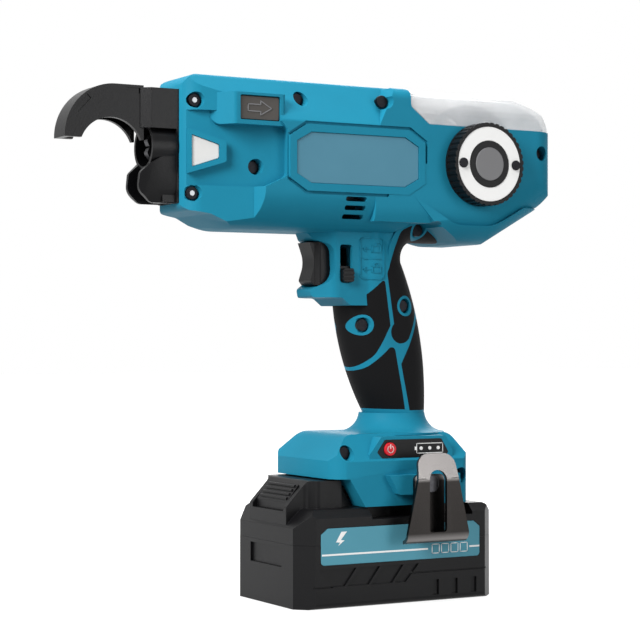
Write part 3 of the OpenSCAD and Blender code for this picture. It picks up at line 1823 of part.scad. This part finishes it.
module release_spring() {
    z0 = slot_low;
    color(steel)
        translate([release_x, 0, z0 + 0.02])
            coil(2, release_seat - z0 - 0.06, 6, 0.35);
}

module pack_cells() {
    color("#3f6f9c")
        for (i = [-2:2])
            for (k = [0, 1])
                bar_y(i * (2 * cell_r + 0.3), pack_wall + 0.05 + cell_r + k * (2 * cell_r + 0.2), cell_r,
                    -cell_l / 2, cell_l / 2);
}

module pack_terminals() {
    color("#c9a24a")
        for (y = blade_y)
            box(blade_x0 + 2, blade_x0 + 14, y - 1.1, y + 1.1, slot_floor, slot_floor + 5.6);
}

left_housing();
right_housing();
housing_screws();
left_grip_rubber();
right_grip_rubber();
rating_plate();
nose_plate();
push_plate();
nose_casting();
upper_jaw();
jaw_pin();
gearbox_frame();
front_bearing();
rear_bearing();
twist_motor();
motor_pinion();
twist_gear();
twist_shaft();
twist_hook();
feed_frame();
feed_axles();
lower_feed_gear();
upper_feed_gear();
feed_pinion();
feed_motor();
wire_guide_tube();
cutter_die();
cutter_lever();
wire_reel();
reel_stub_axle();
plunger_sleeve();
spool_plunger();
plunger_spring();
spool_knob();
knob_ring();
knob_screws();
knob_cap();
spool_cover();
cover_hinge_pin();
trigger();
trigger_spring();
trigger_switch();
lock_lever();
control_board();
terminal_block();
indicator_panel();
indicator_lamps();
power_button();
belt_hook();
belt_hook_screw();
pack_lower_case();
pack_upper_case();
pack_label();
release_button();
release_spring();
pack_cells();
pack_terminals();
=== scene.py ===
"""Looks of the cordless rebar tying tool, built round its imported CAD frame. All sizes in metres."""

import json
import math

import bmesh
import bpy
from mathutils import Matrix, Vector
from mathutils.bvhtree import BVHTree

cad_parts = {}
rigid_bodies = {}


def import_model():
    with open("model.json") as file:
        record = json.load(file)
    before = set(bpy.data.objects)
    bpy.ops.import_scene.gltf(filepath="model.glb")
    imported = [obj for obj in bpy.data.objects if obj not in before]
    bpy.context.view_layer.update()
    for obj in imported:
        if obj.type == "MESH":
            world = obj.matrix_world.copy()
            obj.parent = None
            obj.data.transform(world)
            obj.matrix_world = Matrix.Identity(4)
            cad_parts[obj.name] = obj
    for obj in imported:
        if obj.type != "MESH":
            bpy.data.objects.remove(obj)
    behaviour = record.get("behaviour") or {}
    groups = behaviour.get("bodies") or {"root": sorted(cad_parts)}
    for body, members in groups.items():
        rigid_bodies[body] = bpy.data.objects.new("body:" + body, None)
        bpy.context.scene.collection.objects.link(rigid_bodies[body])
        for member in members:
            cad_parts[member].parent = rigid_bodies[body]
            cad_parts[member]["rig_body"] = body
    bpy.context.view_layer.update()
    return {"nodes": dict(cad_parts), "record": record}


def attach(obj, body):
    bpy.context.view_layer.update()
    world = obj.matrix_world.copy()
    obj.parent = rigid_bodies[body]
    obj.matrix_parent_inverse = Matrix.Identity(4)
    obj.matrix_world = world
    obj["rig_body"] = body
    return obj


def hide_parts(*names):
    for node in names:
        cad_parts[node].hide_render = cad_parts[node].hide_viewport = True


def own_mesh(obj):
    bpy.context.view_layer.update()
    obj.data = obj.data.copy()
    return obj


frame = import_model()
MM = 0.001
BODY_OF = {n: o["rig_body"] for n, o in frame["nodes"].items()}
SLOT_OF = {s["node"]: s["material_slot"] for s in frame["record"]["subparts"]}


# Shader helpers

def new_material(name):
    """A node material with its tree and its Principled shader."""
    mat = bpy.data.materials.new(name)
    mat.use_nodes = True
    tree = mat.node_tree
    return mat, tree, tree.nodes["Principled BSDF"]


def node(tree, kind, **values):
    """A new shader node with inputs or settings given by name."""
    made = tree.nodes.new(kind)
    for key, value in values.items():
        if key in made.inputs:
            made.inputs[key].default_value = value
        else:
            setattr(made, key, value)
    return made


def object_coords(tree):
    return node(tree, "ShaderNodeTexCoord").outputs["Object"]


def noise(tree, scale, detail=3.0, roughness=0.55):
    made = node(tree, "ShaderNodeTexNoise", Scale=scale, Detail=detail, Roughness=roughness)
    tree.links.new(object_coords(tree), made.inputs["Vector"])
    return made.outputs["Fac"]


def ramp(tree, fac, stops):
    made = tree.nodes.new("ShaderNodeValToRGB")
    elements = made.color_ramp.elements
    while len(elements) < len(stops):
        elements.new(0.5)
    for element, (place, colour) in zip(elements, stops):
        element.position = place
        element.color = (*colour, 1)
    tree.links.new(fac, made.inputs["Fac"])
    return made.outputs["Color"]


def spread(tree, fac, low, high):
    """Maps 0 to 1 on to low to high."""
    made = node(tree, "ShaderNodeMapRange")
    made.inputs["To Min"].default_value = low
    made.inputs["To Max"].default_value = high
    tree.links.new(fac, made.inputs["Value"])
    return made.outputs["Result"]


def bump(tree, shader, height, distance, strength=1.0):
    made = node(tree, "ShaderNodeBump", Strength=strength, Distance=distance)
    tree.links.new(height, made.inputs["Height"])
    tree.links.new(made.outputs["Normal"], shader.inputs["Normal"])


SHEEN = 0.13
MOTTLE_SCALE = 40.0


def moulded(name, colour, shade, roughness, grain, depth, sheen=SHEEN):
    """Moulded plastic or rubber: a slow colour drift, uneven gloss and a fine eroded grain."""
    mat, tree, shader = new_material(name)
    drift = noise(tree, MOTTLE_SCALE, 2.0)
    tree.links.new(ramp(tree, drift, [(0.3, shade), (0.7, colour)]), shader.inputs["Base Color"])
    fine = noise(tree, grain, 2.0, 0.6)
    tree.links.new(spread(tree, fine, *roughness), shader.inputs["Roughness"])
    shader.inputs["Specular IOR Level"].default_value = sheen
    bump(tree, shader, fine, depth)
    return mat


def metal(name, colour, shade, roughness, grain, depth):
    """Bare or coated metal with streaked gloss."""
    mat, tree, shader = new_material(name)
    streak = noise(tree, grain, 4.0)
    tree.links.new(ramp(tree, streak, [(0.3, shade), (0.7, colour)]), shader.inputs["Base Color"])
    tree.links.new(spread(tree, streak, *roughness), shader.inputs["Roughness"])
    shader.inputs["Metallic"].default_value = 1.0
    bump(tree, shader, streak, depth)
    return mat


TEAL = (0.013, 0.205, 0.315)
TEAL_SHADE = (0.012, 0.193, 0.298)
BLACK = (0.005, 0.005, 0.0055)
BLACK_SHADE = (0.004, 0.004, 0.0045)

MATERIALS = {
    "teal_plastic": moulded("teal_plastic", TEAL, TEAL_SHADE, (0.42, 0.56), 2600.0, 0.00004, sheen=0.05),
    "black_plastic": moulded("black_plastic", BLACK, BLACK_SHADE, (0.3, 0.44), 2200.0, 0.00006),
    "rubber": moulded("rubber", BLACK, BLACK_SHADE, (0.6, 0.78), 3000.0, 0.00008, sheen=0.08),
    "plate_teal": moulded("plate_teal", (0.070, 0.216, 0.300), (0.064, 0.203, 0.284),
                          (0.36, 0.48), 3200.0, 0.00002),
    "label": moulded("label", (0.085, 0.290, 0.375), (0.080, 0.278, 0.360), (0.34, 0.44), 900.0, 0.00001),
    "white_plastic": moulded("white_plastic", (0.86, 0.86, 0.85), (0.83, 0.83, 0.82),
                             (0.28, 0.38), 900.0, 0.00001),
    "pale_plate": moulded("pale_plate", (0.62, 0.62, 0.61), (0.58, 0.58, 0.57), (0.28, 0.38), 900.0, 0.00001),
    "grey_plastic": moulded("grey_plastic", (0.180, 0.180, 0.185), (0.168, 0.168, 0.173),
                            (0.42, 0.56), 2400.0, 0.00004),
    "worn_grey": moulded("worn_grey", (0.075, 0.069, 0.063), (0.065, 0.060, 0.055),
                         (0.42, 0.56), 2400.0, 0.00004),
    "red_plastic": moulded("red_plastic", (0.62, 0.020, 0.030), (0.55, 0.016, 0.024),
                           (0.28, 0.38), 900.0, 0.00001),
    "cast_black": moulded("cast_black", (0.004, 0.004, 0.0045), (0.003, 0.003, 0.0035),
                          (0.26, 0.38), 1500.0, 0.00006),
    "reel_plastic": moulded("reel_plastic", (0.62, 0.63, 0.65), (0.58, 0.59, 0.61),
                            (0.38, 0.52), 1500.0, 0.00002),
    "board": moulded("board", (0.02, 0.12, 0.04), (0.015, 0.1, 0.03), (0.35, 0.5), 800.0, 0.00001),
    "cell": moulded("cell", (0.06, 0.14, 0.33), (0.05, 0.12, 0.3), (0.3, 0.4), 500.0, 0.00001),
    "steel": metal("steel", (0.50, 0.51, 0.52), (0.42, 0.43, 0.44), (0.25, 0.42), 700.0, 0.00001),
    "dark_steel": metal("dark_steel", (0.07, 0.07, 0.075), (0.045, 0.045, 0.05), (0.3, 0.45), 700.0, 0.00001),
    # Near-black steel; on the housing screws it is painted shade for the deep wells they sit in
    "blued_steel": metal("blued_steel", (0.016, 0.016, 0.018), (0.010, 0.010, 0.012),
                         (0.4, 0.55), 700.0, 0.00001),
    "frame_metal": metal("frame_metal", (0.45, 0.46, 0.47), (0.38, 0.39, 0.40),
                         (0.38, 0.58), 1200.0, 0.00003),
    "motor_steel": metal("motor_steel", (0.28, 0.29, 0.30), (0.22, 0.23, 0.24), (0.32, 0.48), 600.0, 0.00001),
    "brass": metal("brass", (0.62, 0.46, 0.18), (0.55, 0.40, 0.15), (0.22, 0.38), 600.0, 0.00001),
}


def hook_metal(highlight_rim=0.0335, shade_from=0.0365, shade_to=0.0625, highlight_tip=0.0645, height=0.08):
    """Grainy spring steel with painted highlights on rim and tip and painted shade on the legs."""
    mat, tree, shader = new_material("hook_metal")
    split = tree.nodes.new("ShaderNodeSeparateXYZ")
    tree.links.new(object_coords(tree), split.inputs["Vector"])
    up = node(tree, "ShaderNodeMapRange")
    up.inputs["From Max"].default_value = height
    tree.links.new(split.outputs["Z"], up.inputs["Value"])
    # Painted highlight and painted shade by height alone: bright at the lower rim and the tip, dark on the
    # legs between
    painted_shade, painted_highlight = (0.024, 0.022, 0.021), (0.19, 0.18, 0.176)
    stops = [(highlight_rim, painted_highlight), (shade_from, painted_shade), (shade_to, painted_shade), (highlight_tip, painted_highlight)]
    tint = ramp(tree, up.outputs["Result"], [(z / height, colour) for z, colour in stops])
    tree.links.new(tint, shader.inputs["Base Color"])
    grain = noise(tree, 1800.0, 3.0)
    tree.links.new(spread(tree, grain, 0.2, 0.42), shader.inputs["Roughness"])
    shader.inputs["Metallic"].default_value = 1.0
    bump(tree, shader, grain, 0.00003)
    return mat


MATERIALS["hook_metal"] = hook_metal()


def clear_plastic():
    """Hazy see-through plastic of the reel cover."""
    mat, tree, shader = new_material("clear_plastic")
    haze = noise(tree, 60.0, 3.0)
    tint = ramp(tree, haze, [(0.3, (0.60, 0.61, 0.62)), (0.7, (0.71, 0.72, 0.73))])
    tree.links.new(tint, shader.inputs["Base Color"])
    tree.links.new(spread(tree, haze, 0.10, 0.2), shader.inputs["Roughness"])
    shader.inputs["Alpha"].default_value = 0.38
    bump(tree, shader, haze, 0.00008, 0.5)
    return mat


MATERIALS["clear_plastic"] = clear_plastic()


# Mesh helpers

def add_object(name, mesh, body, material):
    """Links a mesh that rides a body and fills a material slot of the record."""
    piece = bpy.data.objects.new(name, mesh)
    bpy.context.scene.collection.objects.link(piece)
    piece.data.materials.clear()
    piece.data.materials.append(MATERIALS[material])
    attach(piece, body)
    return piece


EDGE_ANGLE = math.radians(35.0)
EDGE_SEGMENTS = 2
WELD_GAP = 0.000004
FLAT_ANGLE = math.radians(0.4)


def soften(piece, bevel):
    """Rounds the sharp edges by a small bevel and shades the rest smooth."""
    for polygon in piece.data.polygons:
        polygon.use_smooth = True
    piece.data.set_sharp_from_angle(angle=EDGE_ANGLE)
    if bevel > 0:
        edge = piece.modifiers.new("edge", "BEVEL")
        edge.width = bevel
        edge.segments = EDGE_SEGMENTS
        edge.limit_method = "ANGLE"
        edge.angle_limit = EDGE_ANGLE
        edge.use_clamp_overlap = True
        edge.harden_normals = True
        edge.miter_outer = "MITER_ARC"


def clean_copy(cad_name, join_flats=True):
    """The node's mesh with its seams welded and, where asked, its flat faces joined again."""
    mesh = frame["nodes"][cad_name].data.copy()
    mesh.materials.clear()
    work = bmesh.new()
    work.from_mesh(mesh)
    bmesh.ops.remove_doubles(work, verts=work.verts, dist=WELD_GAP)
    if join_flats:
        bmesh.ops.dissolve_limit(
            work, angle_limit=FLAT_ANGLE, verts=work.verts, edges=work.edges, delimit={"NORMAL"}
        )
    work.to_mesh(mesh)
    work.free()
    for name in ("custom_normal", "sharp_face", "sharp_edge"):
        found = mesh.attributes.get(name)
        if found is not None:
            mesh.attributes.remove(found)
    return mesh


def dress(cad_name, material=None, bevel=0.0003):
    """A finished copy of a CAD node: same form, with rounded edges and a real material."""
    slot = SLOT_OF[cad_name]
    piece = add_object(cad_name + ".look", clean_copy(cad_name, bevel > 0), BODY_OF[cad_name],
                       material or slot)
    soften(piece, bevel)
    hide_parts(cad_name)
    return piece


for cad_name, obj in frame["nodes"].items():
    obj.data.materials.clear()
    obj.data.materials.append(MATERIALS[SLOT_OF[cad_name]])

for cad_name in ("left_housing", "right_housing"):
    dress(cad_name, bevel=0.0004)
for cad_name in ("left_grip_rubber", "right_grip_rubber", "trigger", "lock_lever", "nose_casting",
                 "upper_jaw", "pack_upper_case", "release_button", "indicator_panel", "spool_knob",
                 "rating_plate", "knob_ring", "knob_cap", "pack_label", "power_button", "spool_cover",
                 "wire_reel"):
    dress(cad_name)
dress("pack_lower_case", bevel=0.0)
dress("push_plate", material="worn_grey")
dress("twist_hook", material="dark_steel")
dress("nose_plate", material="pale_plate")
dress("belt_hook", material="hook_metal", bevel=0.0004)
dress("belt_hook_screw", material="dark_steel")
# The housing screws are near-black steel: painted shade for the deep wells they sit in
dress("housing_screws", material="blued_steel")
dress("knob_screws", material="blued_steel")

# Coil springs, each dressed with a mesh of its own: joint, axis (0, 1, 2 for X, Y, Z), fixed end, travel
SPRINGS = {
    "plunger_spring": ("plunger_pull", 1, -0.037, 0.005),
    "trigger_spring": ("trigger_pull", 0, -0.0161, 0.006),
    "release_spring": ("release_press", 2, 0.0436, 0.0035),
}
for cad_name, (joint, axis, fixed_end, travel) in SPRINGS.items():
    along, anchor = [0.0, 0.0, 0.0], [0.0, 0.0, 0.0]
    along[axis], anchor[axis] = 1.0, fixed_end
    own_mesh(dress(cad_name, bevel=0.0))


# Printed and moulded marks, drawn in side view (X, Z) in millimetres

def rect(x0, z0, x1, z1):
    return [(x0, z0), (x1, z0), (x1, z1), (x0, z1)]


def stroke(points, width, step=1.0):
    """A line of the given width, as short quads that can follow a curved face."""
    quads = []
    for start, end in zip(points, points[1:]):
        a, b = Vector(start), Vector(end)
        along = (b - a).normalized()
        side = Vector((-along.y, along.x)) * width / 2
        a, b = a - along * width / 2, b + along * width / 2
        count = max(1, round((b - a).length / step))
        stops = [a.lerp(b, k / count) for k in range(count + 1)]
        quads += [[p - side, q - side, q + side, p + side] for p, q in zip(stops, stops[1:])]
    return quads


def arc(x, z, radius, start, end, count=16):
    angles = [math.radians(start + (end - start) * k / count) for k in range(count + 1)]
    return [(x + radius * math.cos(a), z + radius * math.sin(a)) for a in angles]


def round_frame(x0, z0, x1, z1, radius):
    """Points of a closed rounded rectangle."""
    corners = [(x1 - radius, z0 + radius, -90), (x1 - radius, z1 - radius, 0),
               (x0 + radius, z1 - radius, 90), (x0 + radius, z0 + radius, 180)]
    points = [p for x, z, a in corners for p in arc(x, z, radius, a, a + 90, 5)]
    return points + points[:1]


RAY_FROM_Y = -0.2  # well outside the tool's left side


def left_face(cad_name):
    """Finds the outermost Y of a node's left side at (x, z), in millimetres."""
    mesh = frame["nodes"][cad_name].data
    tree = BVHTree.FromPolygons([v.co for v in mesh.vertices], [list(p.vertices) for p in mesh.polygons])

    def face_at(x, z):
        hit = tree.ray_cast(Vector((x * MM, RAY_FROM_Y, z * MM)), Vector((0, 1, 0)))[0]
        return hit.y / MM if hit else 0.0
    return face_at


STAMP_ROOT = 0.2  # how far a mark reaches into its node


def stamp(name, on, outlines, material, raise_by):
    """A mark on the left side of the node it is printed or moulded on."""
    face_at = left_face(on)
    verts, faces = [], []
    for outline in outlines:
        first, count = len(verts), len(outline)
        for drop in (raise_by, -STAMP_ROOT):
            verts += [(x * MM, (face_at(x, z) - drop) * MM, z * MM) for x, z in outline]
        faces += [[first + k for k in range(count)], [first + count + k for k in range(count)]]
        faces += [[first + k, first + count + k, first + count + (k + 1) % count, first + (k + 1) % count]
                  for k in range(count)]
    mesh = bpy.data.meshes.new(name)
    mesh.from_pydata(verts, [], faces)
    work = bmesh.new()
    work.from_mesh(mesh)
    bmesh.ops.recalc_face_normals(work, faces=work.faces)
    work.to_mesh(mesh)
    work.free()
    add_object(name, mesh, BODY_OF[on], material)


SIGN_LINE = 0.45


def padlock(x, z, shackle_lean):
    """Outline of a padlock; the shackle stands to one side when it is open."""
    lines = stroke(rect(x - 2.2, z - 1.8, x + 2.2, z + 1.4) + [(x - 2.2, z - 1.8)], SIGN_LINE)
    return lines + stroke(arc(x + shackle_lean, z + 1.8, 1.4, 0, 180, 8), SIGN_LINE)


def arrow(x0, x1, z, head):
    """An arrow that points to x0."""
    shaft, barbs = [(x0, z), (x1, z)], [(x0 + head, z + head), (x0, z), (x0 + head, z - head)]
    return stroke(shaft, SIGN_LINE) + stroke(barbs, SIGN_LINE)


POWER_AT = (-5.0, 79.0)
LAMP_Z = 79.0
LABEL_FRAME_STEP = 5.8
FRONT_SCREWS = ((-108.0, 253.5), (-109.3, 207.5))
GLINT_R = 1.3
KNOB_SCREWS_X = (35.45, 68.55)
KNOB_SCREWS_Z = 227.3
SLOT_HALF_L, SLOT_HALF_W = 0.9, 0.2


def label_frame(k):
    """The k-th small empty frame on the pack's label."""
    x = 18.0 + LABEL_FRAME_STEP * k
    return stroke(round_frame(x, 24.8, x + 4.4, 29.4, 0.5), 0.4)


def cross_slot(x, z):
    """The two slots of a cross-head screw."""
    return [rect(x - SLOT_HALF_L, z - SLOT_HALF_W, x + SLOT_HALF_L, z + SLOT_HALF_W),
            rect(x - SLOT_HALF_W, z - SLOT_HALF_L, x + SLOT_HALF_W, z + SLOT_HALF_L)]


stamp("power_sign", "power_button", [
    *stroke(arc(*POWER_AT, 1.75, 125, 415, 28), 0.42, 0.5),
    *stroke([(POWER_AT[0], POWER_AT[1] + 0.5), (POWER_AT[0], POWER_AT[1] + 2.3)], 0.45),
], "white_plastic", 0.06)
stamp("charge_outline", "indicator_panel", [
    *stroke(round_frame(11.3, LAMP_Z - 2.5, 27.3, LAMP_Z + 2.5, 0.4), 0.34),
    rect(10.1, LAMP_Z - 0.9, 11.1, LAMP_Z + 0.9),
], "white_plastic", 0.06)
stamp("push_arrow", "push_plate", stroke([
    (-84.4, 248.4), (-77.4, 248.4), (-77.4, 246.6), (-71.4, 250.1),
    (-77.4, 253.6), (-77.4, 251.8), (-84.4, 251.8), (-84.4, 248.4),
], 0.5), "grey_plastic", 0.3)
stamp("lock_signs", "left_housing", [
    *stroke(round_frame(-12.4, 166.8, 1.2, 188.2, 2.0), 0.5),
    *padlock(-3.2, 182.6, 1.3), *arrow(-10.4, -6.8, 182.4, 1.2),
    *padlock(-3.2, 172.0, 0.0), *arrow(-10.4, -6.8, 171.8, 1.2),
    *stroke([(-10.4, 177.4), (-0.8, 177.4)], 0.45),
], "teal_plastic", 0.5)
stamp("label_marks", "pack_label", [
    *stroke([(-47.0, 27.2), (15.0, 27.2)], 0.9, 8.0), *stroke([(41.6, 27.2), (47.0, 27.2)], 0.9, 8.0),
    [(-38.0, 31.6), (-34.4, 34.2), (-36.6, 34.4), (-33.0, 38.6), (-36.2, 38.6), (-39.4, 33.4), (-37.0, 33.2)],
    *[quad for k in range(4) for quad in label_frame(k)],
], "white_plastic", 0.05)
# Painted glints: lighter steel discs on the two front screw heads stand in for their highlights
stamp("painted_screw_glints", "housing_screws", [
    arc(x, z, GLINT_R, 0, 340, 17) for x, z in FRONT_SCREWS
], "motor_steel", 0.04)
# Painted shade: black crosses on the knob screws stand in for the dark of their recessed cross slots
stamp("knob_slot_shade", "knob_screws", [
    slot for x in KNOB_SCREWS_X for slot in cross_slot(x, KNOB_SCREWS_Z)
], "black_plastic", 0.03)


# Stage: camera at the photograph's place, pale floor, soft studio light

VIEW_ANGLE = math.radians(29.5)
CAMERA_AT = (-0.51203, -0.85662, 0.13501)
SENSOR = 36.0
FOCAL_PX = 1884.02
FRAME_PX = 640.0
RISE_PX = 20.0


def make_camera():
    """A level camera with a long lens, where the photograph was taken from."""
    data = bpy.data.cameras.new("camera")
    data.sensor_width = SENSOR
    data.lens = FOCAL_PX * SENSOR / FRAME_PX
    data.shift_y = RISE_PX / FRAME_PX
    data.clip_start = 0.05
    obj = bpy.data.objects.new("camera", data)
    obj.location = CAMERA_AT
    obj.rotation_euler = (math.pi / 2, 0, -VIEW_ANGLE)
    bpy.context.scene.collection.objects.link(obj)
    bpy.context.scene.camera = obj


def seen_rays(tree):
    """1 for rays that show the background: straight from the camera, mirrored or through clear plastic."""
    path = tree.nodes.new("ShaderNodeLightPath")
    first = node(tree, "ShaderNodeMath", operation="MAXIMUM")
    tree.links.new(path.outputs["Is Camera Ray"], first.inputs[0])
    tree.links.new(path.outputs["Is Glossy Ray"], first.inputs[1])
    both = node(tree, "ShaderNodeMath", operation="MAXIMUM")
    tree.links.new(first.outputs[0], both.inputs[0])
    tree.links.new(path.outputs["Is Transmission Ray"], both.inputs[1])
    return both.outputs[0]


FLOOR_GREY = 0.25
FLOOR_NEAR_GLOW = 0.76


def make_floor(size=6.0, near=0.12, far=0.42):
    """White floor that keeps the soft shadow close to the object and fades to plain white."""
    mat, tree, shader = new_material("floor_white")
    shader.inputs["Base Color"].default_value = (FLOOR_GREY, FLOOR_GREY, FLOOR_GREY, 1)
    shader.inputs["Roughness"].default_value = 0.8
    shader.inputs["Emission Color"].default_value = (1, 1, 1, 1)
    away = node(tree, "ShaderNodeVectorMath", operation="LENGTH")
    tree.links.new(object_coords(tree), away.inputs[0])
    fade = node(tree, "ShaderNodeMapRange")
    for key, value in {"From Min": near, "From Max": far, "To Min": FLOOR_NEAR_GLOW, "To Max": 1.0}.items():
        fade.inputs[key].default_value = value
    tree.links.new(away.outputs["Value"], fade.inputs["Value"])
    lift = node(tree, "ShaderNodeMath", operation="MULTIPLY")
    tree.links.new(seen_rays(tree), lift.inputs[0])
    tree.links.new(fade.outputs["Result"], lift.inputs[1])
    tree.links.new(lift.outputs[0], shader.inputs["Emission Strength"])
    mesh = bpy.data.meshes.new("floor")
    corners = [(-size, -size, 0), (size, -size, 0), (size, size, 0), (-size, size, 0)]
    mesh.from_pydata(corners, [], [(0, 1, 2, 3)])
    mesh.materials.append(mat)
    obj = bpy.data.objects.new("floor", mesh)
    bpy.context.scene.collection.objects.link(obj)


def make_world(fill=0.13):
    """Plain white background, seen directly and in mirrors, with a weaker fill light on the object."""
    world = bpy.data.worlds.new("studio")
    bpy.context.scene.world = world
    world.use_nodes = True
    tree = world.node_tree
    back = tree.nodes["Background"]
    back.inputs["Color"].default_value = (1, 1, 1, 1)
    tree.links.new(spread(tree, seen_rays(tree), fill, 1.0), back.inputs["Strength"])


def add_softbox(name, place, target, size, power):
    """A rectangular area lamp, in watts, that faces its target."""
    data = bpy.data.lights.new(name, "AREA")
    data.shape = "RECTANGLE"
    data.size, data.size_y = size
    data.energy = power
    obj = bpy.data.objects.new(name, data)
    obj.location = place
    obj.rotation_euler = (Vector(target) - Vector(place)).to_track_quat("-Z", "Y").to_euler()
    bpy.context.scene.collection.objects.link(obj)


CENTRE = (-0.02, 0, 0.15)

make_camera()
make_floor()
make_world()
add_softbox("key", (-1.25, -0.5, 0.85), CENTRE, (0.6, 0.8), 29.0)
add_softbox("top", (-0.1, 0.0, 1.3), CENTRE, (0.8, 0.8), 14.0)
add_softbox("side", (0.5, -1.25, 0.3), CENTRE, (0.5, 0.9), 7.0)
add_softbox("back", (0.7, 0.8, 0.7), CENTRE, (0.6, 0.8), 7.5)

bpy.context.scene.view_settings.view_transform = "Standard"
